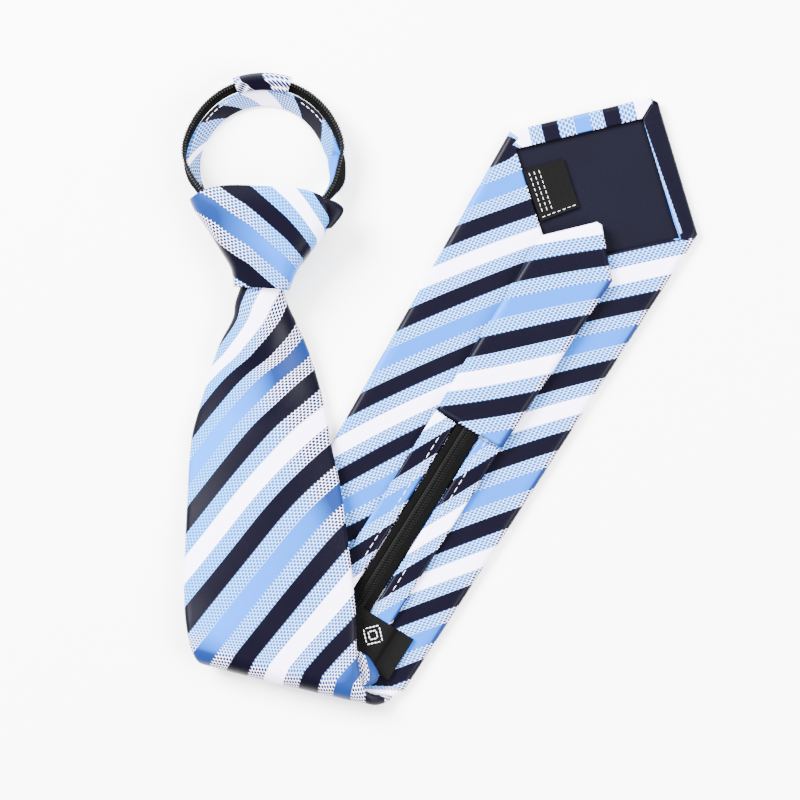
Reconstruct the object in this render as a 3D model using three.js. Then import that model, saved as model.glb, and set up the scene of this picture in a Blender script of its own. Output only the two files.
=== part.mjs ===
import * as THREE from 'three';

// Zipper tie, laid out flat on a table with its wide blade folded back once.
// Millimetres, +Z up, +Y towards the neck loop, the table at z = 0.

// Cloth and padding.
const CLOTH = 1.0;
const BLADE_THICK = 4.0;
const TAB_THICK = 4.4;
const GAP = 0.3;
const SEAM_GAP = 1.2;
const HEM = 9.6;
const LAYER_MIDDLE = BLADE_THICK / 2;

// Fold of the wide blade.
const FOLD_TOP = 12.4;
const FOLD_RADIUS = (FOLD_TOP - LAYER_MIDDLE) / 2;
const FOLD_STEPS = 9;
const FOLD_OUT = new THREE.Vector3(-0.2385, -0.9711, 0);

// Tail band, made of two cloth strips with a zip between them.
const TAIL_WIDTH = 28.0;
const TAIL_THICK = 1.8;
const TAPE_THICK = 1.0;
const CHAIN_WIDTH = 3.9;
const TAPE_WIDTH = 9.4;
const TAIL_LOW = BLADE_THICK + GAP + TAIL_THICK / 2;
const TAIL_HIGH = 8.8;
const TAIL_FOLD_STEPS = 7;

// Neck loop.
const LOOP_X = -65.6;
const LOOP_Y = 86.7;
const LOOP_CLOTH_THICK = 1.6;
const COIL_WIDTH = 1.7;
const COIL_THICK = 1.9;
const SEAM_ROOM = 1.3;
const KEEPER_WALL = 0.8;
const KEEPER_ROOM = 0.45;

// Knot.
const WRAP_WALL = 1.5;
const CORE_WALL = 1.3;
const CORE_ROOM = 0.5;
const KNOT_SQUARE = 4;
const KNOT_POINTS = 24;

// Front part of the blade from the knot down to the fold, edge by edge.
const FRONT_COLUMNS = ['leftX', 'leftY', 'leftZ', 'rightX', 'rightY', 'rightZ', 'bend'];
const FRONT_ROWS = [
  [-74.6, 43.4, 11.4, -58.5, 42.3, 11.4, 100],
  [-74.7, 39.7, 11.0, -57.4, 38.2, 11.0, 105],
  [-76.9, 33.0, 9.6, -55.7, 32.6, 9.6, 115],
  [-77.9, 27.0, 7.7, -52.6, 25.9, 7.7, 113],
  [-82.6, 18.1, 5.4, -48.7, 17.0, 5.4, 96],
  [-86.1, 8.4, 3.5, -45.5, 7.3, 3.5, 80],
  [-90.2, -5.8, 2.5, -41.9, -6.9, 3.6, 62],
  [-93.2, -18.5, 2.4, -39.5, -20.7, 6.6, 50],
  [-94.3, -35.6, 4.0, -36.0, -38.2, 8.2, 40],
  [-95.1, -55.7, 6.3, -33.0, -61.0, 10.6, 30],
  [-95.4, -75.9, 8.6, -30.9, -82.9, 12.2, 20],
  [-94.5, -87.0, 10.8, -30.6, -96.7, 12.5, 14],
  [-92.8, -94.5, FOLD_TOP, -28.7, -109.4, FOLD_TOP, 6],
];
const FRONT_STEPS = 3;

// Back part of the blade from the fold up to the shoulders of the tip.
const BACK_LEFT_START = new THREE.Vector2(-82.8, -93.9);
const BACK_RIGHT_START = new THREE.Vector2(-13.1, -111.3);
const SHOULDER_LEFT = new THREE.Vector2(26.0, 96.6);
const SHOULDER_RIGHT = new THREE.Vector2(96.0, 58.1);
const TIP_POINT = new THREE.Vector2(80.5, 109.8);
const OPENING_START = 0.826;
const OPENING_END = 0.987;
const BACK_SHARES = [0, 0.12, 0.3, 0.5, 0.7, OPENING_START, 0.87, 0.91, 0.948, 0.975, 1];
const TIP_SHARES = [0.12, 0.3, 0.5, 0.76, 0.85, 0.93];

// Narrow end of the tie, sewn over the end of the zip as a pull tab.
const TAB_MOUTH_LEFT = new THREE.Vector2(-1.6, -7.0);
const TAB_MOUTH_RIGHT = new THREE.Vector2(22.9, -21.5);
const TAB_SHOULDER_LEFT = new THREE.Vector2(37.5, 57.6);
const TAB_SHOULDER_RIGHT = new THREE.Vector2(64.1, 40.8);
const TAB_POINT = new THREE.Vector2(59.8, 63.0);
const TAB_MIDDLE = BLADE_THICK + GAP + TAB_THICK / 2;
const TAB_TIP_SHARES = [0.88, 0.75, 0.6, 0.4, 0.2];
const TAB_SHARES = [0, 0.25, 0.5, 0.75, 1];

// Tail from the knot down to its own fold, then up into the pull tab.
const TAIL_COLUMNS = ['x', 'y', 'z', 'turn', 'bend'];
const TAIL_ROWS = [
  [-66.4, 49.8, 6.6, 0, 20],
  [-66.4, 43.1, 6.6, 0, 20],
  [-66.4, 36.7, 6.4, 0, 60],
  [-66.4, 29.3, 4.6, 0, 90],
  [-66.2, 20.3, 1.4, 0, 124],
  [-65.6, 10.6, 1.7, 0, 80],
  [-64.1, -3.5, 1.7, -1, 30],
  [-61.9, -22.2, 4.1, -2, 10],
  [-59.3, -40.8, 6.2, -4, 4],
  [-55.9, -59.5, 7.85, -6, 0],
  [-52.2, -78.1, 9.0, -9, 0],
  [-49.2, -93.0, TAIL_HIGH, -12, 0],
  [-46.8, -101.6, TAIL_HIGH, -13.8, 0],
];
const TAIL_STEPS = 2;
const STRIP_START = 8;
const TAIL_TURN = -13.8;
const TAIL_UP = new THREE.Vector2(0.5297, 0.8482);
const TAIL_FOLD_OUT = new THREE.Vector3(-0.2385, -0.9711, 0);
const TAIL_BACK_COLUMNS = ['x', 'y', 'z', 'turn'];
const TAIL_BACK_ROWS = [
  [-42.9, -100.5, TAIL_LOW, -15.5],
  [-33.2, -84.7, TAIL_LOW, -24],
  [-20.5, -64.3, TAIL_LOW, -32],
  [-3.7, -37.5, TAIL_LOW, -32],
  [2.2, -27.8, 5.7, -32],
  [6.3, -21.2, 6.35, -32],
  [10.3, -14.8, 6.5, -32],
];
const ZIP_INTO_TAB = 14.0;

// Neck loop around its centre, cloth edge below, seam, then teeth edge above.
const LOOP_COLUMNS = ['angle', 'clothR', 'clothZ', 'seamR', 'seamZ', 'teethR', 'teethZ'];
const LOOP_ROWS = [
  [-66, 27.6, 6.2, 29.1, 11.0, 27.6, 15.6],
  [-52, 26.8, 6.0, 28.7, 10.8, 26.8, 15.4],
  [-40, 26.3, 6.5, 28.5, 10.5, 26.5, 15.0],
  [-30, 26.5, 5.2, 29.8, 9.6, 26.8, 14.2],
  [-19, 26.1, 1.8, 31.5, 8.4, 27.2, 13.2],
  [-9, 24.6, 0.9, 31.0, 7.8, 27.4, 12.6],
  [0, 23.7, 0.9, 30.0, 7.5, 28.3, 12.4],
  [8, 22.6, 0.9, 28.1, 7.6, 30.2, 12.2],
  [30, 21.2, 0.9, 26.7, 7.4, 30.1, 11.4],
  [60, 20.1, 0.9, 25.9, 7.0, 29.8, 9.8],
  [90, 19.6, 0.9, 25.5, 6.8, 29.6, 9.6],
  [120, 19.9, 0.9, 25.9, 7.0, 29.7, 10.0],
  [150, 21.2, 0.9, 26.7, 7.4, 29.8, 11.4],
  [170, 22.9, 0.9, 28.1, 7.6, 30.2, 12.2],
  [180, 23.7, 0.9, 28.9, 7.6, 29.6, 12.4],
  [188, 24.2, 1.0, 29.5, 7.8, 28.0, 12.6],
  [198, 24.8, 2.2, 29.1, 8.6, 26.5, 13.2],
  [207, 25.0, 5.4, 28.0, 9.6, 25.4, 14.2],
  [217, 25.4, 6.5, 27.6, 10.3, 25.4, 15.0],
  [230, 26.1, 6.0, 28.0, 10.8, 26.1, 15.4],
  [246, 26.8, 6.2, 28.3, 11.0, 26.8, 15.6],
];
const LOOP_STEPS = 2;
const CLOTH_ENDS = [-50, 228];
const BACK_GAP_ANGLE = 1.2;
const KEEPER_ANGLES = [69.5, 111.5];
const KEEPER_ROWS = 7;

// Knot from its lower mouth up to the rim, with the reach of the outer wrap.
const KNOT_COLUMNS = [
  'leftX', 'leftY', 'rightX', 'rightY', 'bottom', 'top', 'crown', 'open', 'close',
];
const KNOT_ROWS = [
  [-76.6, 38.6, -55.9, 37.3, 1.0, 18.4, 0, -25, 327],
  [-77.5, 44.9, -53.1, 44.2, 0.5, 19.8, 0.4, -25, 327],
  [-81.3, 51.6, -48.1, 50.9, 0.1, 21.6, 0.8, -20, 325],
  [-86.3, 59.5, -42.3, 58.7, 0, 23.0, 1.4, 5, 320],
  [-90.8, 66.2, -38.8, 64.7, 0, 24.0, 2.4, 38, 314],
  [-92.8, 70.6, -39.1, 67.7, 0.6, 23.6, 3.6, 50, 308],
];
const KNOT_STEPS = 3;
const CORE_FIRST = 4;

// Labels.
const CARE_CORNERS = [
  [45.9, 86.2],
  [51.7, 68.4],
  [37.4, 63.0],
  [30.8, 82.0],
];
const CARE_BOTTOM = 2.6;
const CARE_TOP = 3.6;
const LOOP_LABEL_X = -34.3;
const LOOP_LABEL_Y = -87.8;
const LOOP_LABEL_TURN = -32;
const LOOP_LABEL_LONG = 18.0;
const LOOP_LABEL_THICK = 1.0;
const LOOP_LABEL_TABLE = [
  [-21.5, 4.85],
  [-17.2, 4.9],
  [-14.2, 7.0],
  [-9, 7.0],
  [9, 7.0],
  [14.2, 7.0],
  [17.2, 4.9],
  [23.3, 4.85],
];

// Slider that joins both zip halves inside the knot.
const SLIDER_X = -66.4;
const SLIDER_Y = 56.1;
const SLIDER_Z = 8.2;
const SLIDER_WIDTH = 9.0;
const SLIDER_LONG = 12.0;
const SLIDER_TALL = 5.0;

const UP = new THREE.Vector3(0, 0, 1);
const DEGREE = Math.PI / 180;

function named(columns, rows) {
  return rows.map((row) => {
    const entry = {};
    columns.forEach((column, index) => {
      entry[column] = row[index];
    });
    return entry;
  });
}

function curve(before, start, end, after, share) {
  const slopeStart = (end - before) / 2;
  const slopeEnd = (after - start) / 2;
  const square = share * share;
  const cube = square * share;
  return (2 * cube - 3 * square + 1) * start
    + (cube - 2 * square + share) * slopeStart
    + (3 * square - 2 * cube) * end
    + (cube - square) * slopeEnd;
}

function smoothRows(rows, steps) {
  const result = [];
  const last = rows.length - 1;
  for (let index = 0; index < last; index += 1) {
    const before = rows[Math.max(0, index - 1)];
    const after = rows[Math.min(last, index + 2)];
    for (let step = 0; step < steps; step += 1) {
      const entry = {};
      Object.keys(rows[0]).forEach((key) => {
        const start = rows[index][key];
        const end = rows[index + 1][key];
        entry[key] = curve(before[key], start, end, after[key], step / steps);
      });
      result.push(entry);
    }
  }
  result.push({ ...rows[last] });
  return result;
}

function mix(start, end, share) {
  return start + (end - start) * share;
}

// Triangles of a flat outline, wound the same way as the outline itself.
function capFaces(outline) {
  const ringWay = Math.sign(THREE.ShapeUtils.area(outline));
  return THREE.ShapeUtils.triangulateShape(outline, []).map((face) => {
    const way = Math.sign(THREE.ShapeUtils.area(face.map((index) => outline[index])));
    return way === ringWay ? face : [face[0], face[2], face[1]];
  });
}

// Closed body through rings of points, with flat or stepped end caps.
function loft(rings, outlines) {
  const count = rings[0].length;
  const points = [];
  rings.forEach((ring) => {
    ring.forEach((point) => {
      points.push(point.x, point.y, point.z);
    });
  });
  const faces = [];
  for (let row = 0; row + 1 < rings.length; row += 1) {
    for (let index = 0; index < count; index += 1) {
      const next = (index + 1) % count;
      const a = row * count + index;
      const b = row * count + next;
      const c = a + count;
      const d = b + count;
      faces.push(a, b, d, a, d, c);
    }
  }
  const base = (rings.length - 1) * count;
  capFaces(outlines[0]).forEach((face) => {
    faces.push(face[0], face[2], face[1]);
  });
  capFaces(outlines[outlines.length - 1]).forEach((face) => {
    faces.push(base + face[0], base + face[1], base + face[2]);
  });
  return solid(points, faces);
}

// Open tube with a wall, from matching outer and inner rings.
function tube(outer, inner) {
  const count = outer[0].length;
  const rows = outer.length;
  const points = [];
  outer.concat(inner).forEach((ring) => {
    ring.forEach((point) => {
      points.push(point.x, point.y, point.z);
    });
  });
  const faces = [];
  const shift = rows * count;
  for (let index = 0; index < count; index += 1) {
    const next = (index + 1) % count;
    for (let row = 0; row + 1 < rows; row += 1) {
      const a = row * count + index;
      const b = row * count + next;
      faces.push(a, b, b + count, a, b + count, a + count);
      faces.push(shift + a, shift + b + count, shift + b);
      faces.push(shift + a, shift + a + count, shift + b + count);
    }
    const top = (rows - 1) * count;
    faces.push(index, shift + index, shift + next, index, shift + next, next);
    faces.push(top + index, top + next, shift + top + next);
    faces.push(top + index, shift + top + next, shift + top + index);
  }
  return solid(points, faces);
}

function solid(points, faces) {
  let volume = 0;
  for (let index = 0; index < faces.length; index += 3) {
    const corner = [0, 1, 2].map((offset) => {
      const start = faces[index + offset] * 3;
      return new THREE.Vector3(points[start], points[start + 1], points[start + 2]);
    });
    volume += corner[0].dot(corner[1].cross(corner[2]));
  }
  if (volume < 0) {
    for (let index = 0; index < faces.length; index += 3) {
      const swap = faces[index + 1];
      faces[index + 1] = faces[index + 2];
      faces[index + 2] = swap;
    }
  }
  const geometry = new THREE.BufferGeometry();
  geometry.setAttribute('position', new THREE.Float32BufferAttribute(points, 3));
  geometry.setIndex(faces);
  geometry.computeVertexNormals();
  return geometry;
}

function addPiece(parent, name, geometry, colour, roughness, metalness) {
  const material = new THREE.MeshStandardMaterial({ color: colour, roughness, metalness });
  const mesh = new THREE.Mesh(geometry, material);
  mesh.name = name;
  parent.add(mesh);
}

// Cross frames: left and right edge, direction along the cloth and the bend.
function addDirections(frames) {
  frames.forEach((frame) => {
    frame.centre = frame.left.clone().add(frame.right).multiplyScalar(1 / 2);
    frame.across = frame.right.clone().sub(frame.left).normalize();
    frame.seen = frame.right.distanceTo(frame.left);
  });
  frames.forEach((frame, index) => {
    const forward = new THREE.Vector3();
    if (index + 1 < frames.length) {
      forward.add(frames[index + 1].centre.clone().sub(frame.centre).normalize());
    }
    if (index > 0) {
      forward.add(frame.centre.clone().sub(frames[index - 1].centre).normalize());
    }
    frame.up = frame.up || forward.cross(frame.across).normalize();
  });
  return frames;
}

function bentLength(seen, bend, thick) {
  const half = bend * DEGREE / 2;
  if (half < 0.01) {
    return seen;
  }
  return (seen / (2 * Math.sin(half)) - thick / 2) * 2 * half;
}

function place(frame, across, lift) {
  const half = frame.bend * DEGREE / 2;
  const result = frame.centre.clone();
  if (half < 0.01) {
    return result.addScaledVector(frame.across, across).addScaledVector(frame.up, lift);
  }
  const radius = frame.length / (2 * half);
  const angle = across / radius;
  result.addScaledVector(frame.across, (radius + lift) * Math.sin(angle));
  const rise = (radius + lift) * Math.cos(angle) - radius * Math.cos(half);
  return result.addScaledVector(frame.up, rise);
}

// Folded cloth section: one face layer and two flaps turned under it.
function foldedOutline(length, thick, flap) {
  const half = length / 2;
  const turn = thick / 2;
  const inside = half - CLOTH - 0.4;
  const end = half - flap;
  const inner = turn - CLOTH;
  const side = [
    [half / 3, turn],
    [half * 2 / 3, turn],
    [Math.max(half - turn, half * 0.72), turn],
    [half, 0],
    [Math.max(half - turn, Math.min(half * 0.75, end + flap * 0.9)), -turn],
    [end + flap * 0.45, -turn],
    [end, -turn],
    [end, -inner],
    [end + flap * 0.45, -inner],
    [Math.max(inside, end + flap * 0.7), -inner],
    [Math.max(inside, end + flap * 0.7), inner],
    [half * 0.62 - 0.3, inner],
    [half * 0.31, inner],
  ];
  const right = side.map((point) => [point[0], point[1]]);
  const left = side.map((point) => [-point[0], point[1]]).reverse();
  return [[0, turn], ...right, [0, inner], ...left];
}

function foldedBody(frames, thick) {
  const rings = [];
  const outlines = [];
  frames.forEach((frame) => {
    const outline = foldedOutline(frame.length, thick, frame.flap);
    rings.push(outline.map((point) => place(frame, point[0], point[1])));
    outlines.push(outline.map((point) => new THREE.Vector2(point[0], point[1])));
  });
  return loft(rings, outlines);
}

function frontFrames() {
  const rows = smoothRows(named(FRONT_COLUMNS, FRONT_ROWS), FRONT_STEPS);
  return rows.map((row) => ({
    left: new THREE.Vector3(row.leftX, row.leftY, row.leftZ),
    right: new THREE.Vector3(row.rightX, row.rightY, row.rightZ),
    bend: row.bend,
  }));
}

function foldFrames(front) {
  const start = front[front.length - 1];
  const frames = [];
  const middle = (FOLD_TOP + LAYER_MIDDLE) / 2;
  for (let step = 1; step < FOLD_STEPS; step += 1) {
    const share = step / FOLD_STEPS;
    const angle = share * Math.PI;
    const out = FOLD_RADIUS * Math.sin(angle);
    const height = middle + FOLD_RADIUS * Math.cos(angle);
    const left = new THREE.Vector3(
      mix(start.left.x, BACK_LEFT_START.x, share),
      mix(start.left.y, BACK_LEFT_START.y, share),
      height,
    );
    const right = new THREE.Vector3(
      mix(start.right.x, BACK_RIGHT_START.x, share),
      mix(start.right.y, BACK_RIGHT_START.y, share),
      height,
    );
    left.addScaledVector(FOLD_OUT, out);
    right.addScaledVector(FOLD_OUT, out);
    frames.push({ left, right, bend: start.bend * (1 - share) });
  }
  return frames;
}

function flat(point, height) {
  return new THREE.Vector3(point.x, point.y, height);
}

function backFrames() {
  const frames = [];
  BACK_SHARES.forEach((share) => {
    const left = BACK_LEFT_START.clone().lerp(SHOULDER_LEFT, share);
    const right = BACK_RIGHT_START.clone().lerp(SHOULDER_RIGHT, share);
    frames.push({
      left: flat(left, LAYER_MIDDLE),
      right: flat(right, LAYER_MIDDLE),
      up: UP.clone().negate(),
      bend: 0,
      share,
    });
  });
  TIP_SHARES.forEach((share) => {
    const left = SHOULDER_LEFT.clone().lerp(TIP_POINT, share);
    const right = SHOULDER_RIGHT.clone().lerp(TIP_POINT, share);
    frames.push({
      left: flat(left, LAYER_MIDDLE),
      right: flat(right, LAYER_MIDDLE),
      up: UP.clone().negate(),
      bend: 0,
      share: 1 + share,
    });
  });
  return frames;
}

function flapWidth(half, share) {
  const closed = half - SEAM_GAP / 2;
  if (share <= OPENING_START) {
    return closed;
  }
  const left = Math.max(0, OPENING_END - share) / (OPENING_END - OPENING_START);
  const open = half * left;
  return Math.min(closed, Math.max(open, HEM));
}

const front = frontFrames();
const back = backFrames();
const blade = addDirections(front.concat(foldFrames(front), back));
blade.forEach((frame) => {
  frame.length = bentLength(frame.seen, frame.bend, BLADE_THICK);
  frame.flap = flapWidth(frame.length / 2, frame.share === undefined ? 0 : frame.share);
});

const group = new THREE.Group();
group.name = 'zipper_tie';
addPiece(group, 'blade', foldedBody(blade, BLADE_THICK), 0x8fb4dc, 0.55, 0);

// Plain rectangle swept along frames, between two across positions.
function bar(frames, from, to, thick, lift = 0) {
  const rings = [];
  const outlines = [];
  const chamfer = Math.min(thick * 0.3, (to - from) * 0.3);
  frames.forEach((frame) => {
    const outline = [
      [from + chamfer, lift - thick / 2],
      [(from + to) / 2, lift - thick / 2],
      [to - chamfer, lift - thick / 2],
      [to, lift],
      [to - chamfer, lift + thick / 2],
      [(from + to) / 2, lift + thick / 2],
      [from + chamfer, lift + thick / 2],
      [from, lift],
    ];
    rings.push(outline.map((point) => place(frame, point[0], point[1])));
    outlines.push(outline.map((point) => new THREE.Vector2(point[0], point[1])));
  });
  return loft(rings, outlines);
}

// Lining under the open flaps of the tip.
const LINING_SHARES = [0.78, 0.86, 0.94, 1];
const LINING_TIP = [0.2, 0.5, 0.8, 0.9];
const LINING_INSET = 2.4;
const LINING_THICK = 1.0;
const LINING_MIDDLE = 1.8;
const lining = addDirections(LINING_SHARES.map((share) => ({
  left: flat(BACK_LEFT_START.clone().lerp(SHOULDER_LEFT, share), LINING_MIDDLE),
  right: flat(BACK_RIGHT_START.clone().lerp(SHOULDER_RIGHT, share), LINING_MIDDLE),
  up: UP.clone(),
  bend: 0,
})).concat(LINING_TIP.map((share) => ({
  left: flat(SHOULDER_LEFT.clone().lerp(TIP_POINT, share), LINING_MIDDLE),
  right: flat(SHOULDER_RIGHT.clone().lerp(TIP_POINT, share), LINING_MIDDLE),
  up: UP.clone(),
  bend: 0,
}))));
const liningRings = [];
const liningOutlines = [];
lining.forEach((frame) => {
  const half = frame.seen / 2 - LINING_INSET;
  const outline = [
    [-half, -LINING_THICK / 2],
    [half, -LINING_THICK / 2],
    [half, LINING_THICK / 2],
    [-half, LINING_THICK / 2],
  ];
  liningRings.push(outline.map((point) => place(frame, point[0], point[1])));
  liningOutlines.push(outline.map((point) => new THREE.Vector2(point[0], point[1])));
});
addPiece(group, 'tip_lining', loft(liningRings, liningOutlines), 0x23243c, 0.6, 0);

// Care label, a plain black strip beside the left flap.
const careRings = [CARE_BOTTOM, CARE_TOP].map((height) => (
  CARE_CORNERS.map((corner) => new THREE.Vector3(corner[0], corner[1], height))
));
const careOutline = CARE_CORNERS.map((corner) => new THREE.Vector2(corner[0], corner[1]));
addPiece(group, 'care_label', loft(careRings, [careOutline, careOutline]), 0x15151a, 0.5, 0);

// Tail frames: from the knot to the fold, around it, then up to the tab.
function tailFrame(x, y, z, turn, up, bend) {
  const across = new THREE.Vector3(Math.cos(turn * DEGREE), Math.sin(turn * DEGREE), 0);
  const centre = new THREE.Vector3(x, y, z);
  return {
    left: centre.clone().addScaledVector(across, -TAIL_WIDTH / 2),
    right: centre.clone().addScaledVector(across, TAIL_WIDTH / 2),
    up,
    bend,
  };
}

const tailRows = smoothRows(named(TAIL_COLUMNS, TAIL_ROWS), TAIL_STEPS);
const tailBackRows = named(TAIL_BACK_COLUMNS, TAIL_BACK_ROWS);
const tailFrames = tailRows.map((row) => (
  tailFrame(row.x, row.y, row.z, row.turn, undefined, row.bend)
));
const tailTurnStart = tailRows[tailRows.length - 1];
const tailTurnEnd = tailBackRows[0];
const tailFoldRadius = (TAIL_HIGH - TAIL_LOW) / 2;
for (let step = 1; step < TAIL_FOLD_STEPS; step += 1) {
  const share = step / TAIL_FOLD_STEPS;
  const angle = share * Math.PI;
  const out = tailFoldRadius * Math.sin(angle);
  tailFrames.push(tailFrame(
    mix(tailTurnStart.x, tailTurnEnd.x, share) + TAIL_FOLD_OUT.x * out,
    mix(tailTurnStart.y, tailTurnEnd.y, share) + TAIL_FOLD_OUT.y * out,
    (TAIL_HIGH + TAIL_LOW) / 2 + tailFoldRadius * Math.cos(angle),
    mix(tailTurnStart.turn, tailTurnEnd.turn, share),
    undefined,
    0,
  ));
}
tailBackRows.forEach((row) => {
  const frame = tailFrame(row.x, row.y, row.z, row.turn, UP.clone().negate(), 0);
  tailFrames.push(frame);
});
const last = tailBackRows[tailBackRows.length - 1];
const intoTab = [
  tailFrame(
    last.x + TAIL_UP.x * ZIP_INTO_TAB,
    last.y + TAIL_UP.y * ZIP_INTO_TAB,
    last.z,
    last.turn,
    UP.clone().negate(),
    0,
  ),
];
const tail = addDirections(tailFrames.concat(intoTab));
tail.forEach((frame) => {
  frame.length = TAIL_WIDTH;
});
const stripFrames = tail.slice(STRIP_START, tail.length - 1);
const TAIL_GAP = 0.4;
const stripInner = TAPE_WIDTH / 2 + TAIL_GAP;
const cloth = 0x86acd8;
const black = 0x17171a;
const leftStrip = bar(stripFrames, -TAIL_WIDTH / 2, -stripInner, TAIL_THICK);
const rightStrip = bar(stripFrames, stripInner, TAIL_WIDTH / 2, TAIL_THICK);
addPiece(group, 'tail_strip_left', leftStrip, cloth, 0.55, 0);
addPiece(group, 'tail_strip_right', rightStrip, cloth, 0.55, 0);
const tapeInner = CHAIN_WIDTH / 2 + TAIL_GAP;
addPiece(group, 'tail_tape_left', bar(tail, -TAPE_WIDTH / 2, -tapeInner, TAPE_THICK), black, 0.8, 0);
addPiece(group, 'tail_tape_right', bar(tail, tapeInner, TAPE_WIDTH / 2, TAPE_THICK), black, 0.8, 0);
addPiece(group, 'zip_chain', bar(tail, -CHAIN_WIDTH / 2, CHAIN_WIDTH / 2, TAIL_THICK), black, 0.4, 0);

// Pull tab: folded cloth closed over the end of the tail.
const tabFrames = TAB_TIP_SHARES.map((share) => ({
  left: flat(TAB_SHOULDER_LEFT.clone().lerp(TAB_POINT, share), TAB_MIDDLE),
  right: flat(TAB_SHOULDER_RIGHT.clone().lerp(TAB_POINT, share), TAB_MIDDLE),
  up: UP.clone(),
  bend: 0,
})).concat(TAB_SHARES.map((share) => ({
  left: flat(TAB_SHOULDER_LEFT.clone().lerp(TAB_MOUTH_LEFT, share), TAB_MIDDLE),
  right: flat(TAB_SHOULDER_RIGHT.clone().lerp(TAB_MOUTH_RIGHT, share), TAB_MIDDLE),
  up: UP.clone(),
  bend: 0,
})));
const tab = addDirections(tabFrames);
tab.forEach((frame) => {
  frame.length = frame.seen;
  frame.flap = frame.length / 2 - Math.min(SEAM_GAP / 2, frame.length * 0.1);
});
addPiece(group, 'tail_tab', foldedBody(tab, TAB_THICK), cloth, 0.55, 0);

// Label that bridges the tail and holds it to the back of the blade.
const labelAcross = new THREE.Vector3(
  Math.cos(LOOP_LABEL_TURN * DEGREE),
  Math.sin(LOOP_LABEL_TURN * DEGREE),
  0,
);
const labelAlong = new THREE.Vector3(-labelAcross.y, labelAcross.x, 0);
const labelRings = LOOP_LABEL_TABLE.map((row) => {
  const centre = new THREE.Vector3(LOOP_LABEL_X, LOOP_LABEL_Y, row[1]);
  centre.addScaledVector(labelAcross, row[0]);
  return [
    [-LOOP_LABEL_LONG / 2, -LOOP_LABEL_THICK / 2],
    [LOOP_LABEL_LONG / 2, -LOOP_LABEL_THICK / 2],
    [LOOP_LABEL_LONG / 2, LOOP_LABEL_THICK / 2],
    [-LOOP_LABEL_LONG / 2, LOOP_LABEL_THICK / 2],
  ].map((point) => centre.clone()
    .addScaledVector(labelAlong, point[0])
    .addScaledVector(UP, point[1]));
});
const labelOutline = [[-1, -1], [1, -1], [1, 1], [-1, 1]].map((point) => (
  new THREE.Vector2(point[0], point[1])
));
addPiece(group, 'keeper_label', loft(labelRings, [labelOutline, labelOutline]), 0x131316, 0.5, 0);

// Neck loop: cloth ring, zip tapes and zip coils along the same path.
function loopPoint(angle, radius, height) {
  return new THREE.Vector3(
    LOOP_X + radius * Math.cos(angle * DEGREE),
    LOOP_Y + radius * Math.sin(angle * DEGREE),
    height,
  );
}

const loopRows = smoothRows(named(LOOP_COLUMNS, LOOP_ROWS), LOOP_STEPS);

function loopRowAt(angle) {
  for (let index = 0; index + 1 < loopRows.length; index += 1) {
    const start = loopRows[index];
    const end = loopRows[index + 1];
    if (angle >= start.angle && angle <= end.angle) {
      const share = (angle - start.angle) / (end.angle - start.angle);
      const entry = {};
      Object.keys(start).forEach((key) => {
        entry[key] = mix(start[key], end[key], share);
      });
      return entry;
    }
  }
  return loopRows[loopRows.length - 1];
}

function loopPart(from, to) {
  const inner = loopRows.filter((row) => row.angle > from + 1 && row.angle < to - 1);
  return [loopRowAt(from), ...inner, loopRowAt(to)];
}

function loopFrame(row) {
  const clothEdge = loopPoint(row.angle, row.clothR, row.clothZ);
  const seam = loopPoint(row.angle, row.seamR, row.seamZ);
  const teeth = loopPoint(row.angle, row.teethR, row.teethZ);
  const radial = new THREE.Vector3(
    Math.cos(row.angle * DEGREE),
    Math.sin(row.angle * DEGREE),
    0,
  );
  const along = UP.clone().cross(radial).normalize();
  return { clothEdge, seam, teeth, along };
}

function loopBar(rows, low, high, span, thick) {
  const rings = [];
  const outlines = [];
  rows.forEach((row) => {
    const frame = loopFrame(row);
    const start = frame[low];
    const direction = frame[high].clone().sub(start);
    const size = direction.length();
    direction.normalize();
    const normal = direction.clone().cross(frame.along).normalize();
    const reach = span(size);
    const chamfer = thick * 0.3;
    const outline = [
      [reach[0], -thick / 2 + chamfer],
      [reach[0] + chamfer, -thick / 2],
      [reach[1] - chamfer, -thick / 2],
      [reach[1], 0],
      [reach[1] - chamfer, thick / 2],
      [reach[0] + chamfer, thick / 2],
    ];
    rings.push(outline.map((point) => start.clone()
      .addScaledVector(direction, point[0])
      .addScaledVector(normal, point[1])));
    outlines.push(outline.map((point) => new THREE.Vector2(point[0], point[1])));
  });
  return loft(rings, outlines);
}

const loopStart = LOOP_ROWS[0][0];
const loopEnd = LOOP_ROWS[LOOP_ROWS.length - 1][0];
const backRight = 90 - BACK_GAP_ANGLE;
const backLeft = 90 + BACK_GAP_ANGLE;
const clothRows = loopPart(CLOTH_ENDS[0], CLOTH_ENDS[1]);
const rightRows = loopPart(loopStart, backRight);
const leftRows = loopPart(backLeft, loopEnd);
const clothSpan = (size) => [0, size - GAP];
const tapeSpan = (size) => [SEAM_ROOM, size - COIL_WIDTH - GAP];
const coilSpan = (size) => [size - COIL_WIDTH, size];
const ring = loopBar(clothRows, 'clothEdge', 'seam', clothSpan, LOOP_CLOTH_THICK);
addPiece(group, 'neck_strip', ring, cloth, 0.55, 0);
addPiece(group, 'neck_tape_left', loopBar(leftRows, 'seam', 'teeth', tapeSpan, TAPE_THICK), black, 0.8, 0);
addPiece(group, 'neck_tape_right', loopBar(rightRows, 'seam', 'teeth', tapeSpan, TAPE_THICK), black, 0.8, 0);
addPiece(group, 'neck_coil_left', loopBar(leftRows, 'seam', 'teeth', coilSpan, COIL_THICK), black, 0.4, 0);
addPiece(group, 'neck_coil_right', loopBar(rightRows, 'seam', 'teeth', coilSpan, COIL_THICK), black, 0.4, 0);

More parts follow.
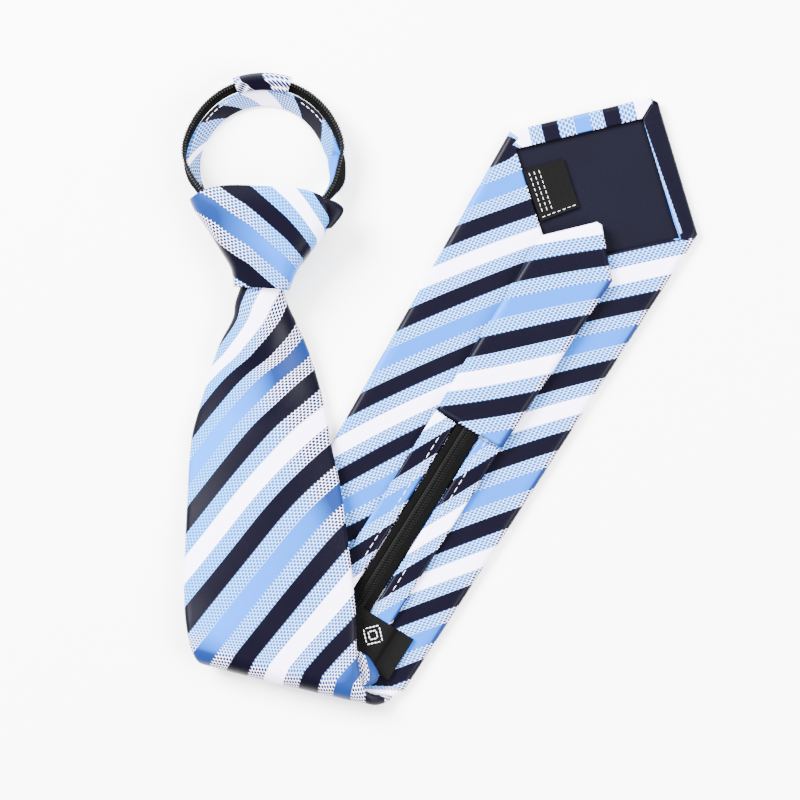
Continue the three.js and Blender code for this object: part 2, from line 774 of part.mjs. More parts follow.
// Cloth keeper around the two tape ends at the back of the loop.
function keeperRings(wall) {
  const result = [];
  const room = COIL_THICK / 2 + KEEPER_ROOM + wall;
  for (let step = 0; step < KEEPER_ROWS; step += 1) {
    const share = step / (KEEPER_ROWS - 1);
    const row = loopRowAt(mix(KEEPER_ANGLES[0], KEEPER_ANGLES[1], share));
    const frame = loopFrame(row);
    const direction = frame.teeth.clone().sub(frame.seam);
    const size = direction.length();
    direction.normalize();
    const normal = direction.clone().cross(frame.along).normalize();
    const low = SEAM_ROOM - KEEPER_ROOM - wall;
    const high = size + KEEPER_ROOM + wall;
    const outline = [
      [low, -room * 0.6],
      [low + room * 0.3, -room],
      [high - room * 0.3, -room],
      [high, -room * 0.6],
      [high, room * 0.6],
      [high - room * 0.3, room],
      [low + room * 0.3, room],
      [low, room * 0.6],
    ];
    result.push(outline.map((point) => frame.seam.clone()
      .addScaledVector(direction, point[0])
      .addScaledVector(normal, point[1])));
  }
  return result;
}

const keeper = tube(keeperRings(KEEPER_WALL), keeperRings(0));
addPiece(group, 'neck_keeper', keeper, cloth, 0.55, 0);

// Knot sections are rounded rectangles, tilted with the rim.
const knotRows = smoothRows(named(KNOT_COLUMNS, KNOT_ROWS), KNOT_STEPS);

function knotPoint(row, inset, angle) {
  const left = new THREE.Vector3(row.leftX, row.leftY, 0);
  const right = new THREE.Vector3(row.rightX, row.rightY, 0);
  const across = right.clone().sub(left).normalize();
  const axis = UP.clone().cross(across);
  const halfWide = left.distanceTo(right) / 2 - inset;
  const halfTall = (row.top - row.bottom) / 2 - inset;
  const cosine = Math.cos(angle * DEGREE);
  const sine = Math.sin(angle * DEGREE);
  const power = 2 / KNOT_SQUARE;
  const shareAcross = Math.sign(cosine) * Math.abs(cosine) ** power;
  const shareUp = Math.sign(sine) * Math.abs(sine) ** power;
  return left.clone().add(right).multiplyScalar(1 / 2)
    .addScaledVector(across, shareAcross * halfWide)
    .addScaledVector(UP, (row.top + row.bottom) / 2 + shareUp * halfTall)
    .addScaledVector(axis, row.crown * (1 - shareAcross ** 4));
}

const wrapRings = [];
const wrapOutlines = [];
knotRows.forEach((row) => {
  const outerRing = [];
  const innerRing = [];
  for (let step = 0; step < KNOT_POINTS; step += 1) {
    const angle = mix(row.open, row.close, step / (KNOT_POINTS - 1));
    outerRing.push([angle, 0]);
    innerRing.unshift([angle, WRAP_WALL]);
  }
  const outline = outerRing.concat(innerRing);
  wrapRings.push(outline.map((point) => knotPoint(row, point[1], point[0])));
  wrapOutlines.push(outline.map((point) => {
    const radius = 10 - point[1];
    return new THREE.Vector2(
      radius * Math.cos(point[0] * DEGREE),
      radius * Math.sin(point[0] * DEGREE),
    );
  }));
});
addPiece(group, 'knot_wrap', loft(wrapRings, wrapOutlines), cloth, 0.55, 0);

const coreRows = knotRows.slice(CORE_FIRST);
const coreOuter = [];
const coreInner = [];
coreRows.forEach((row) => {
  const outerRing = [];
  const innerRing = [];
  for (let step = 0; step < KNOT_POINTS; step += 1) {
    const angle = 360 * step / KNOT_POINTS;
    outerRing.push(knotPoint(row, WRAP_WALL + CORE_ROOM, angle));
    innerRing.push(knotPoint(row, WRAP_WALL + CORE_ROOM + CORE_WALL, angle));
  }
  coreOuter.push(outerRing);
  coreInner.push(innerRing);
});
addPiece(group, 'knot_core', tube(coreOuter, coreInner), 0x26263c, 0.6, 0);

const slider = new THREE.BoxGeometry(SLIDER_WIDTH, SLIDER_LONG, SLIDER_TALL);
slider.translate(SLIDER_X, SLIDER_Y, SLIDER_Z);
addPiece(group, 'zip_slider', slider, 0x202022, 0.4, 0);

export default group;
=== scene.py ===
import math

import bpy
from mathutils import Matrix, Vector


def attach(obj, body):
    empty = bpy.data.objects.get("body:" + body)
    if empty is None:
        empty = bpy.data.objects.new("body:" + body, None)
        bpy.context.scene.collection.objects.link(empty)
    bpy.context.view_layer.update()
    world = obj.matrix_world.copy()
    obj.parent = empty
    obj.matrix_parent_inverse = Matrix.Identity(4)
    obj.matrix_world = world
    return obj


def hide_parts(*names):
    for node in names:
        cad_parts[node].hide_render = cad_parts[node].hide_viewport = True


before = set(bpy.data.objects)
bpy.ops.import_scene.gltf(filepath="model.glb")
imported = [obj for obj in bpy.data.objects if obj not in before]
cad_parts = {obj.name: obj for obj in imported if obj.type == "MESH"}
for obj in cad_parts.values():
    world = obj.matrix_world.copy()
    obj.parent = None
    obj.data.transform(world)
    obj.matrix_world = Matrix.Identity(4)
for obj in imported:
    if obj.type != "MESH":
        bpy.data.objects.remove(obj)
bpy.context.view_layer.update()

bl_info = {
    "name": "Zipper Tie",
    "version": (1, 0, 0),
    "blender": (4, 5, 0),
    "location": "3D View > Sidebar > Zipper Tie",
    "description": "Striped tie with a zip neck loop, laid flat and folded once",
    "category": "Object",
}

# Tables are in millimetres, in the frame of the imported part.
MM = 0.001
UP = Vector((0.0, 0.0, 1.0))
DOWN = Vector((0.0, 0.0, -1.0))

# Front part of the blade, left and right edge with the bend of the cloth.
FRONT_ROWS = [
    (-74.6, 43.4, 11.4, -58.5, 42.3, 11.4, 100),
    (-74.7, 39.7, 11.0, -57.4, 38.2, 11.0, 105),
    (-76.9, 33.0, 9.6, -55.7, 32.6, 9.6, 115),
    (-77.9, 27.0, 7.7, -52.6, 25.9, 7.7, 113),
    (-82.6, 18.1, 5.4, -48.7, 17.0, 5.4, 96),
    (-86.1, 8.4, 3.5, -45.5, 7.3, 3.5, 80),
    (-90.2, -5.8, 2.5, -41.9, -6.9, 3.6, 62),
    (-93.2, -18.5, 2.4, -39.5, -20.7, 6.6, 50),
    (-94.3, -35.6, 4.0, -36.0, -38.2, 8.2, 40),
    (-95.1, -55.7, 6.3, -33.0, -61.0, 10.6, 30),
    (-95.4, -75.9, 8.6, -30.9, -82.9, 12.2, 20),
    (-94.5, -87.0, 10.8, -30.6, -96.7, 12.5, 14),
    (-92.8, -94.5, 12.4, -28.7, -109.4, 12.4, 6),
]
FRONT_STEPS = 9
FOLD_STEPS = 26
FOLD_RADIUS = 5.2
FOLD_MIDDLE = 7.2
FOLD_OUT = Vector((-0.2385, -0.9711, 0.0))
FOLD_STRIPE_SLOPE = (0.040, 0.042)
BACK_LEFT = Vector((-82.8, -93.9, 2.0))
BACK_RIGHT = Vector((-13.1, -111.3, 2.0))
SHOULDER_LEFT = Vector((26.0, 96.6, 2.0))
SHOULDER_RIGHT = Vector((96.0, 58.1, 2.0))
TIP_POINT = Vector((80.5, 109.8, 2.0))
BACK_STEPS = 90
TIP_STEPS = 22
TIP_END = 0.95
OPENING_START = 0.826
OPENING_END = 1.0
HEM = 10.4
HEM_GROWTH = 240.0
# The hem meets the side flaps across these directions.
LEFT_MITRE = Vector((0.885, 0.465, 0.0))
RIGHT_MITRE = Vector((-0.235, 0.972, 0.0))

# Stripe count along each edge: (y, stripe) in front, (share, stripe) behind.
FRONT_LEFT_STRIPES = [
    (39.7, -1.10), (26.3, -1.06), (15.8, -0.92), (2.1, -0.43), (-14.95, 0.0),
    (-49.3, 1.0), (-86.05, 2.0), (-94.9, 2.28),
]
FRONT_RIGHT_STRIPES = [
    (42.3, -0.45), (30.15, 0.0), (5.05, 1.0), (-23.35, 2.0), (-53.0, 3.0),
    (-87.6, 4.0), (-96.7, 4.30), (-109.4, 4.78),
]
BACK_LEFT_STRIPES = [
    (0.0, 3.25), (0.279, 5.0), (0.4627, 6.0), (0.6296, 7.0), (0.7918, 8.0), (0.9517, 9.0),
    (1.0, 9.12),
]
BACK_RIGHT_STRIPES = [
    (0.0, 5.7), (0.0478, 6.0), (0.2089, 7.0), (0.3804, 8.0), (0.5501, 9.0),
    (0.7073, 10.0), (0.8575, 11.0), (1.0, 11.9),
]
HEM_STRIPES = [
    (26.0, 9.365), (32.6, 9.635), (37.5, 9.865), (43.2, 10.135), (49.4, 10.365),
    (55.1, 10.635), (60.3, 10.865), (66.0, 11.135), (72.0, 11.365),
    (78.3, 11.635), (80.5, 11.75),
]
# How far the bars bow in the middle of the front: (y, stripe).
STRIPE_BULGE = [
    (45.0, 0.03), (33.0, 0.08), (21.0, 0.15), (10.0, 0.18), (-2.0, 0.14), (-18.5, 0.11),
    (-35.0, 0.09), (-56.0, 0.03), (-78.0, 0.0), (-98.6, -0.06),
]
BACK_BULGE = 0.05
TIP_LEFT_STRIPES = (9.3, 11.75)
TIP_RIGHT_STRIPES = (11.9, 12.0)
# The sliver of check inside the right hem: how far the navy reaches at both ends of the hem.
HEM_NAVY = (7.6, 5.3)
HEM_FROM = 0.975
SEAM_HALF = 0.25
# Where the front of the blade turns from painted light to painted shade: (y, x).
FRONT_SHADE = [
    (60.0, -70.0), (33.7, -67.1), (18.8, -64.9), (3.9, -62.6), (-11.0, -58.3), (-25.9, -51.6),
    (-40.8, -43.9), (-55.7, -35.3), (-70.6, -24.0), (-84.0, -20.0), (-96.0, -30.0),
    (-104.0, -37.0),
]
FLAP_LEFT_DROP = 1.33
FLAP_RIGHT_RISE = 1.1

# Pull tab at the narrow end.
TAB_MOUTH_LEFT = Vector((-1.6, -7.0, 6.5))
TAB_MOUTH_RIGHT = Vector((22.9, -21.5, 6.5))
TAB_SHOULDER_LEFT = Vector((37.5, 57.6, 6.5))
TAB_SHOULDER_RIGHT = Vector((64.1, 40.8, 6.5))
TAB_POINT = Vector((59.8, 63.0, 6.5))
TAB_LEFT_STRIPES = [(-9.7, 1.0), (19.8, 2.0), (52.6, 3.0)]
TAB_RIGHT_STRIPES = [(14.9, 1.0), (48.8, 2.0), (80.0, 3.0)]
TAB_UNDER_STRIPES = 1.2
TAB_THICK = 4.4
TAB_SEAM_HALF = 0.3
TAB_TIP_STEPS = 14
TAB_TIP_END = 0.93
TAB_STEPS = 40

# Tail from the knot to its fold and back up: x, y, z, turn and bend.
TAIL_ROWS = [
    (-66.4, 49.8, 6.6, 0, 20),
    (-66.4, 43.1, 6.6, 0, 20),
    (-66.4, 36.7, 6.4, 0, 60),
    (-66.4, 29.3, 4.6, 0, 90),
    (-66.2, 20.3, 1.4, 0, 124),
    (-65.6, 10.6, 1.7, 0, 80),
    (-64.1, -3.5, 1.7, -1, 30),
    (-61.9, -22.2, 4.1, -2, 10),
    (-59.3, -40.8, 6.2, -4, 4),
    (-55.9, -59.5, 7.85, -6, 0),
    (-52.2, -78.1, 9.0, -9, 0),
    (-49.2, -93.0, 8.8, -12, 0),
    (-46.8, -101.6, 8.8, -13.8, 0),
]
TAIL_STEPS = 6
STRIP_FIRST = 24
TAIL_FOLD_STEPS = 12
TAIL_BACK_ROWS = [
    (-42.9, -100.5, 5.2, -15.5, 0),
    (-33.2, -84.7, 5.2, -24, 0),
    (-20.5, -64.3, 5.2, -32, 0),
    (-3.7, -37.5, 5.2, -32, 0),
    (2.2, -27.8, 5.7, -32, 0),
    (6.3, -21.2, 6.35, -32, 0),
    (10.3, -14.8, 6.5, -32, 0),
]
TAIL_BACK_STEPS = 8
TAIL_UP = Vector((0.5297, 0.8482, 0.0))
ZIP_INTO_TAB = 14.0
TAIL_WIDTH = 28.0
TAPE_WIDTH = 9.4
CHAIN_WIDTH = 3.9
TAIL_GAP = 0.4
TAIL_THICK = 1.8
TAPE_THICK = 1.0
CHAIN_THICK = 1.8
CORD_WIDTH = 3.8
CORD_THICK = 0.6
TAIL_SEAM = 7.8
TAIL_SEAM_HEIGHT = 0.92
TAIL_STRIPE_START = 43.0
TAIL_STRIPE_STEP = 42.13

# Neck loop around its centre: angle, cloth edge, seam and teeth edge.
LOOP_X = -65.6
LOOP_Y = 86.7
LOOP_ROWS = [
    (-66, 27.6, 6.2, 29.1, 11.0, 27.6, 15.6),
    (-52, 26.8, 6.0, 28.7, 10.8, 26.8, 15.4),
    (-40, 26.3, 6.5, 28.5, 10.5, 26.5, 15.0),
    (-30, 26.5, 5.2, 29.8, 9.6, 26.8, 14.2),
    (-19, 26.1, 1.8, 31.5, 8.4, 27.2, 13.2),
    (-9, 24.6, 0.9, 31.0, 7.8, 27.4, 12.6),
    (0, 23.7, 0.9, 30.0, 7.5, 28.3, 12.4),
    (8, 22.6, 0.9, 28.1, 7.6, 30.2, 12.2),
    (30, 21.2, 0.9, 26.7, 7.4, 30.1, 11.4),
    (60, 20.1, 0.9, 25.9, 7.0, 29.8, 9.8),
    (90, 19.6, 0.9, 25.5, 6.8, 29.6, 9.6),
    (120, 19.9, 0.9, 25.9, 7.0, 29.7, 10.0),
    (150, 21.2, 0.9, 26.7, 7.4, 29.8, 11.4),
    (170, 22.9, 0.9, 28.1, 7.6, 30.2, 12.2),
    (180, 23.7, 0.9, 28.9, 7.6, 29.6, 12.4),
    (188, 24.2, 1.0, 29.5, 7.8, 28.0, 12.6),
    (198, 24.8, 2.2, 29.1, 8.6, 26.5, 13.2),
    (207, 25.0, 5.4, 28.0, 9.6, 25.4, 14.2),
    (217, 25.4, 6.5, 27.6, 10.3, 25.4, 15.0),
    (230, 26.1, 6.0, 28.0, 10.8, 26.1, 15.4),
    (246, 26.8, 6.2, 28.3, 11.0, 26.8, 15.6),
]
LOOP_STEPS = 6
# The loop's run is measured at this radius.
LOOP_RADIUS = 27.0
LOOP_CLOTH_THICK = 1.6
LOOP_TAPE_THICK = 0.9
CLOTH_ENDS = (-50, 228)
BACK_GAP_ANGLE = 1.2
SEAM_ROOM = 1.3
COIL_WIDTH = 1.7
COIL_THICK = 1.9
KEEPER_ANGLES = (69.5, 111.5)
KEEPER_WALL = 0.8
KEEPER_ROOM = 0.45
KEEPER_CUTS = 26
KEEPER_POINTS = 32
# Stripe count around the loop, by angle at the seam.
LOOP_STRIPES = [
    (-60, -1.95), (-24.5, -1.639), (-15, -1.5), (-6, -1.361), (13.5, -1.141), (29, -1.0),
    (44.5, -0.859), (67.5, -0.639), (79.5, -0.5), (91.5, -0.361), (112, -0.141),
    (122, 0.0), (131.5, -0.141), (163, -0.361), (167, -0.5), (171, -0.639), (190, -0.8),
    (221, -1.0),
]
LOOP_LEAN = 20.0
KEEPER_STRIPES = [
    (60, 1.43), (66, 1.36), (86, 1.135), (93.8, 1.0), (101.5, 0.865), (115, 0.635),
]

# Knot from its lower mouth up to the rim.
KNOT_ROWS = [
    (-76.6, 38.6, -55.9, 37.3, 1.0, 18.4, 0, -25, 327),
    (-77.5, 44.9, -53.1, 44.2, 0.5, 19.8, 0.4, -25, 327),
    (-81.3, 51.6, -48.1, 50.9, 0.1, 21.6, 0.8, -20, 325),
    (-86.3, 59.5, -42.3, 58.7, 0, 23.0, 1.6, 5, 320),
    (-90.8, 66.2, -38.8, 64.7, 0, 24.0, 3.6, 38, 314),
    (-92.8, 70.6, -38.4, 67.9, 0.6, 23.6, 6.2, 50, 308),
]
KNOT_STEPS = 7
KNOT_POINTS = 96
CORE_FIRST = 9
WRAP_WALL = 1.5
CORE_ROOM = 0.5
CORE_WALL = 1.3
# Height of the middle of the dark stripe on the knot, by x.
KNOT_STRIPE = [
    (-93.2, 85.9), (-84.3, 81.5), (-79.8, 78.1), (-75.3, 74.9), (-70.8, 72.1),
    (-66.4, 68.2), (-61.9, 64.3), (-57.4, 60.4), (-52.9, 55.5), (-50.7, 52.8),
    (-48.5, 49.8), (-46.2, 46.4), (-42.0, 40.0),
]
KNOT_STRIPE_STEP = 29.45

# Cloth turned out at the fold of the blade and at the right of the knot:
# left edge, right edge and the stripe count at both.
FOLD_LOBE = [
    ((-33.0, -95.6, 9.4), (-31.0, -96.2, 9.0), 4.20, 4.30),
    ((-32.0, -98.0, 9.4), (-26.8, -98.6, 8.8), 4.16, 4.42),
    ((-31.2, -101.5, 9.4), (-24.2, -102.3, 8.6), 4.12, 4.52),
    ((-30.6, -104.8, 9.4), (-22.8, -105.3, 8.6), 4.12, 4.56),
    ((-30.2, -107.6, 9.4), (-23.6, -108.0, 8.6), 4.14, 4.56),
    ((-29.8, -109.4, 9.4), (-26.6, -109.8, 9.0), 4.30, 4.50),
]
KNOT_CORNER = [
    ((-46.0, 70.0, 17.4), (-43.0, 71.2, 17.2), 5.0, 5.0),
    ((-46.0, 68.4, 17.4), (-38.6, 69.8, 17.0), 5.0, 5.0),
    ((-45.0, 65.0, 17.4), (-35.8, 67.4, 16.6), 5.0, 5.0),
    ((-44.0, 62.0, 17.4), (-36.6, 64.4, 16.6), 5.0, 5.0),
    ((-43.5, 59.5, 17.4), (-40.2, 60.0, 17.0), 5.0, 5.0),
]

LOBE_STEPS = 4
LOBE_WIDE = 8
LOBE_RISE = 0.8

# Lining of the tip.
LINING_START = 0.78
LINING_END = 0.9
LINING_STEPS = 10
LINING_WIDE = 20
LINING_MIDDLE = 1.8
LINING_THICK = 1.0
LINING_INSET = 2.4

# Labels.
CARE_CORNERS = [
    Vector((45.9, 86.2, 0)), Vector((51.7, 68.4, 0)),
    Vector((37.4, 63.0, 0)), Vector((30.8, 82.0, 0)),
]
CARE_BOTTOM = 2.6
CARE_ROWS = 12
LABEL_THICK = 1.0
LABEL_WIDE = 8
KEEPER_LABEL_CENTRE = Vector((-34.3, -87.8, 0))
KEEPER_LABEL_TURN = -32
KEEPER_LABEL_LONG = 18.0
KEEPER_LABEL_TABLE = [
    (-21.5, 4.85), (-17.2, 4.9), (-14.2, 7.0), (-9, 7.0),
    (9, 7.0), (14.2, 7.0), (17.2, 4.9), (23.3, 4.85),
]

# Axis of the back part, from the fold to the tip.
AXIS_X = 0.521
AXIS_Y = 0.853
STRIPE_TURN = math.radians(38.0)

# The woven pattern: edges of the bars in stripe counts, and the ovals of the check.
NAVY_EDGE = (0.137, 0.145)
SATIN_EDGE = (0.361, 0.369)
OVAL_ROW = 0.85
OVAL_STEP = 1.7
OVAL_WIDE = 0.56
OVAL_LONG = 0.40
OVAL_EDGE = (0.7, 1.25)
TWILL_STEP = 0.55
# Painted light on the silk: the blue bars and the check take their lit colours where the surface
# normal faces LIGHT_WAY, over LIGHT_RANGE, and their painted shade colours elsewhere.
LIGHT_WAY = (-0.42, 0.30, 0.86)
LIGHT_RANGE = (0.62, 0.96)
SILK_REPEAT = 22.0
NECK_SILK_REPEAT = 38.0

WIRE_SIDES = 6
STITCH_CUTS = 6
STITCH_RADIUS = 0.12

# Cut of the smaller cloth pieces before folding: width and length.
FLAT_SIZES = {
    "blade_turned_corner_cloth": (11, 15),
    "tip_lining_cloth": (78, 78),
    "care_label_cloth": (16.5, 21),
    "keeper_label_cloth": (18, 46),
    "tail_tab_cloth": (66, 106),
    "neck_strip_cloth": (12, 150),
    "neck_keeper_cloth": (21, 24),
    "knot_wrap_cloth": (122, 33),
    "knot_core_cloth": (112, 26),
    "knot_corner_cloth": (12, 14),
}
STRIP_CUT = 10

# Table, camera and lights, in metres.
TABLE_HALF = 6.0
CAMERA_PLACE = (-0.0149, -0.0035)
PICTURE_WIDTH = 0.29824
SENSOR_WIDTH = 36.0
BACK_LIGHT_SHARE = 0.6


def mix(start, end, share):
    return start + (end - start) * share


def eased(start, leave, end, arrive, share):
    """Smooth value between start and end, with the rise it leaves and arrives with."""
    square, cube = share ** 2, share ** 3
    return (
        (2 * cube - 3 * square + 1) * start
        + (cube - 2 * square + share) * leave
        + (3 * square - 2 * cube) * end
        + (cube - square) * arrive
    )


def reading(table, place):
    """Value of a table at a place, smooth between its rows and straight beyond its ends."""
    rows = sorted(table)
    last = len(rows) - 1
    slopes = []
    for index in range(len(rows)):
        low, high = rows[max(0, index - 1)], rows[min(last, index + 1)]
        slopes.append((high[1] - low[1]) / (high[0] - low[0]))
    if place <= rows[0][0]:
        return rows[0][1] + slopes[0] * (place - rows[0][0])
    if place >= rows[last][0]:
        return rows[last][1] + slopes[last] * (place - rows[last][0])
    index = 0
    while place > rows[index + 1][0]:
        index += 1
    (start, low), (end, high) = rows[index], rows[index + 1]
    step = end - start
    share = (place - start) / step
    return eased(low, slopes[index] * step, high, slopes[index + 1] * step, share)


def smooth_rows(rows, steps):
    """The rows of a table with smooth steps between them."""
    result = []
    last = len(rows) - 1
    for index in range(last):
        before, start = rows[max(0, index - 1)], rows[index]
        end, after = rows[index + 1], rows[min(last, index + 2)]
        for step in range(steps):
            share = step / steps
            result.append(tuple(
                eased(start[k], (end[k] - before[k]) / 2, end[k], (after[k] - start[k]) / 2, share)
                for k in range(len(start))
            ))
    result.append(tuple(rows[last]))
    return result


class Cross:
    """One cut across a band of cloth: both edges, the way it faces and its bend."""

    def __init__(self, left, right, bend=0.0, up=None):
        self.left = left
        self.right = right
        self.bend = math.radians(bend)
        self.up = up
        self.centre = (left + right) / 2
        self.across = (right - left).normalized()
        self.length = (right - left).length
        self.run = 0.0
        self.stripes = (0.0, 0.0)
        self.bulge = BACK_BULGE
        self.flap = 0.0
        self.hem = 0.0
        self.front = False
        self.narrow = 1.0
        self.share = 0.0

    def place(self, across, lift):
        half = self.bend / 2
        if half < 0.01:
            return self.centre + self.across * across + self.up * lift
        radius = self.length / (2 * half)
        angle = across / radius
        rise = (radius + lift) * math.cos(angle) - radius * math.cos(half)
        return self.centre + self.across * (radius + lift) * math.sin(angle) + self.up * rise


def settle(crosses, thick):
    """Gives each cut its facing, its length along the bent cloth and its run."""
    for index, cross in enumerate(crosses):
        forward = Vector()
        if index + 1 < len(crosses):
            forward += (crosses[index + 1].centre - cross.centre).normalized()
        if index:
            forward += (cross.centre - crosses[index - 1].centre).normalized()
            step = (cross.centre - crosses[index - 1].centre).length
            cross.run = crosses[index - 1].run + step
        if cross.up is None:
            cross.up = forward.cross(cross.across).normalized()
        half = cross.bend / 2
        if half >= 0.01:
            cross.length = (cross.length / (2 * math.sin(half)) - thick / 2) * 2 * half
    return crosses


class Skin:
    """Collects rings of points with their stripe count and place on the cloth."""

    def __init__(self):
        self.points = []
        self.stripes = []
        self.cloth = []
        self.shades = []
        self.faces = []

    def add(self, point, stripe=0.0, along=0.0, across=0.0, bar=None, shade=0.0):
        """One point with its stripe count, its place on the cloth and its painted shade."""
        if bar is None:
            bar = across * math.sin(STRIPE_TURN) - along * math.cos(STRIPE_TURN)
        self.points.append(point * MM)
        self.stripes.append(stripe)
        self.cloth.append((along, across, bar))
        self.shades.append(shade)
        return len(self.points) - 1

    def join(self, lower, upper):
        """Quads between two rings."""
        count = len(lower)
        for index in range(count):
            following = (index + 1) % count
            self.faces.append((lower[index], lower[following], upper[following], upper[index]))

    def join_all(self, rings):
        for lower, upper in zip(rings, rings[1:]):
            self.join(lower, upper)

    def cap(self, ring, flip=False):
        self.faces.append(tuple(reversed(ring)) if flip else tuple(ring))

    def loft(self, rings):
        """Solid form from ring to ring, closed at both ends."""
        self.join_all(rings)
        self.cap(rings[0], True)
        self.cap(rings[-1])

    def tube(self, outer, inner):
        """Open tube with a wall between outer and inner rings."""
        self.join_all(outer)
        for lower, upper in zip(inner, inner[1:]):
            self.join(upper, lower)
        self.join(inner[0], outer[0])
        self.join(outer[-1], inner[-1])

    def close_layers(self, ring, split, flip):
        """Closes one end between the outer layer and the inner layer of a ring."""
        outer = ring[:split]
        inner = list(reversed(ring[split:]))
        for index in range(min(len(outer), len(inner)) - 1):
            self.cap((outer[index], outer[index + 1], inner[index + 1], inner[index]), flip)
        if len(outer) > len(inner):
            self.cap((outer[-2], outer[-1], inner[-1]), flip)
        elif len(inner) > len(outer):
            self.cap((outer[-1], inner[-1], inner[-2]), flip)

    def piece(self, name, material, smooth=True):
        mesh = bpy.data.meshes.new(name)
        mesh.from_pydata([tuple(p) for p in self.points], [], self.faces)
        stripe = mesh.attributes.new("stripe", "FLOAT", "POINT")
        stripe.data.foreach_set("value", self.stripes)
        cloth = mesh.attributes.new("cloth", "FLOAT_VECTOR", "POINT")
        cloth.data.foreach_set("vector", [v for row in self.cloth for v in row])
        # Painted shade per point: above 0 it darkens the blue bars and the check towards their
        # shaded colours, below 0 it lightens them.
        shade = mesh.attributes.new("shade", "FLOAT", "POINT")
        shade.data.foreach_set("value", self.shades)
        mesh.update()
        if mesh_volume(mesh) < 0:
            mesh.flip_normals()
        mesh.polygons.foreach_set("use_smooth", [smooth] * len(mesh.polygons))
        mesh.materials.append(material)
        piece = bpy.data.objects.new(name, mesh)
        bpy.context.scene.collection.objects.link(piece)
        return piece


def mesh_volume(mesh):
    total = 0.0
    for polygon in mesh.polygons:
        corners = [mesh.vertices[i].co for i in polygon.vertices]
        for second, third in zip(corners[1:], corners[2:]):
            total += corners[0].dot(second.cross(third))
    return total


def finish_piece(piece, nodes):
    """Rides on the one body and stands for its solids, which it hides."""
    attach(piece, "root")
    if nodes:
        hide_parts(*nodes)
    return piece


def declare_sheet(piece, flat=None):
    """Works out the cut of a cloth piece before folding, from millimetres to metres; nothing uses
    the result.
    """
    width, length = flat or FLAT_SIZES[piece.name]
    flat = (width * MM, length * MM)


# Materials.

class Weave:
    """Small helper that adds linked shader nodes to one material."""

    def __init__(self, name):
        self.material = bpy.data.materials.new(name)
        self.material.use_nodes = True
        self.tree = self.material.node_tree
        self.shader = self.tree.nodes["Principled BSDF"]
        self.x = -1800

    def node(self, kind, **settings):
        made = self.tree.nodes.new(kind)
        made.location = (self.x, 0)
        self.x += 40
        for key, value in settings.items():
            setattr(made, key, value)
        return made

    def feed(self, socket, value):
        if isinstance(value, bpy.types.NodeSocket):
            self.tree.links.new(value, socket)
        else:
            socket.default_value = value

    def math(self, operation, first, second=0.0, third=0.0):
        made = self.node("ShaderNodeMath", operation=operation)
        self.feed(made.inputs[0], first)
        self.feed(made.inputs[1], second)
        self.feed(made.inputs[2], third)
        return made.outputs[0]

    def step(self, value, low, high):
        """0 below low and 1 above high, straight between."""
        made = self.node("ShaderNodeMapRange")
        made.clamp = True
        self.feed(made.inputs["Value"], value)
        self.feed(made.inputs["From Min"], low)
        self.feed(made.inputs["From Max"], high)
        return made.outputs["Result"]

    def blend(self, share, first, second):
        made = self.node("ShaderNodeMix", data_type="RGBA")
        self.feed(made.inputs[0], share)
        self.feed(made.inputs[6], first)
        self.feed(made.inputs[7], second)
        return made.outputs[2]

    def number(self, share, first, second):
        made = self.node("ShaderNodeMix", data_type="FLOAT")
        self.feed(made.inputs[0], share)
        self.feed(made.inputs[2], first)
        self.feed(made.inputs[3], second)
        return made.outputs[0]

    def attribute(self, name, output):
        made = self.node("ShaderNodeAttribute", attribute_name=name)
        return made.outputs[output]

    def separate(self, vector):
        made = self.node("ShaderNodeSeparateXYZ")
        self.feed(made.inputs[0], vector)
        return made.outputs

    def facing(self, way, low, high):
        """How far the cloth is turned towards a direction, from 0 to 1."""
        made = self.node("ShaderNodeVectorMath", operation="DOT_PRODUCT")
        self.feed(made.inputs[0], self.node("ShaderNodeNewGeometry").outputs["Normal"])
        made.inputs[1].default_value = Vector(way).normalized()
        return self.step(made.outputs["Value"], low, high)

    def noise(self, scale, detail=2.0, vector=None):
        made = self.node("ShaderNodeTexNoise")
        made.inputs["Scale"].default_value = scale
        made.inputs["Detail"].default_value = detail
        if vector is None:
            vector = self.node("ShaderNodeTexCoord").outputs["Object"]
        self.feed(made.inputs["Vector"], vector)
        return made.outputs["Fac"]

    def wave(self, place, step):
        """Even ribs across a place on the cloth, from 0 to 1."""
        made = self.math("SINE", self.math("MULTIPLY", place, 2 * math.pi / step))
        return self.math("MULTIPLY_ADD", made, 0.5, 0.5)

    def mottled(self, pattern, share, colour, other):
        """A colour that goes part of the way to another with a pattern."""
        return self.blend(self.math("MULTIPLY", pattern, share), rgba(colour), rgba(other))

    def bump(self, height, strength, distance):
        made = self.node("ShaderNodeBump")
        made.inputs["Strength"].default_value = strength
        made.inputs["Distance"].default_value = distance
        self.feed(made.inputs["Height"], height)
        self.tree.links.new(made.outputs["Normal"], self.shader.inputs["Normal"])

    def surface(self, colour, rough, specular):
        """Colour, roughness and shine of the finish."""
        self.feed(self.shader.inputs["Base Color"], colour)
        self.feed(self.shader.inputs["Roughness"], rough)
        self.feed(self.shader.inputs["Specular IOR Level"], specular)


def rgba(colour):
    return (colour[0], colour[1], colour[2], 1.0)


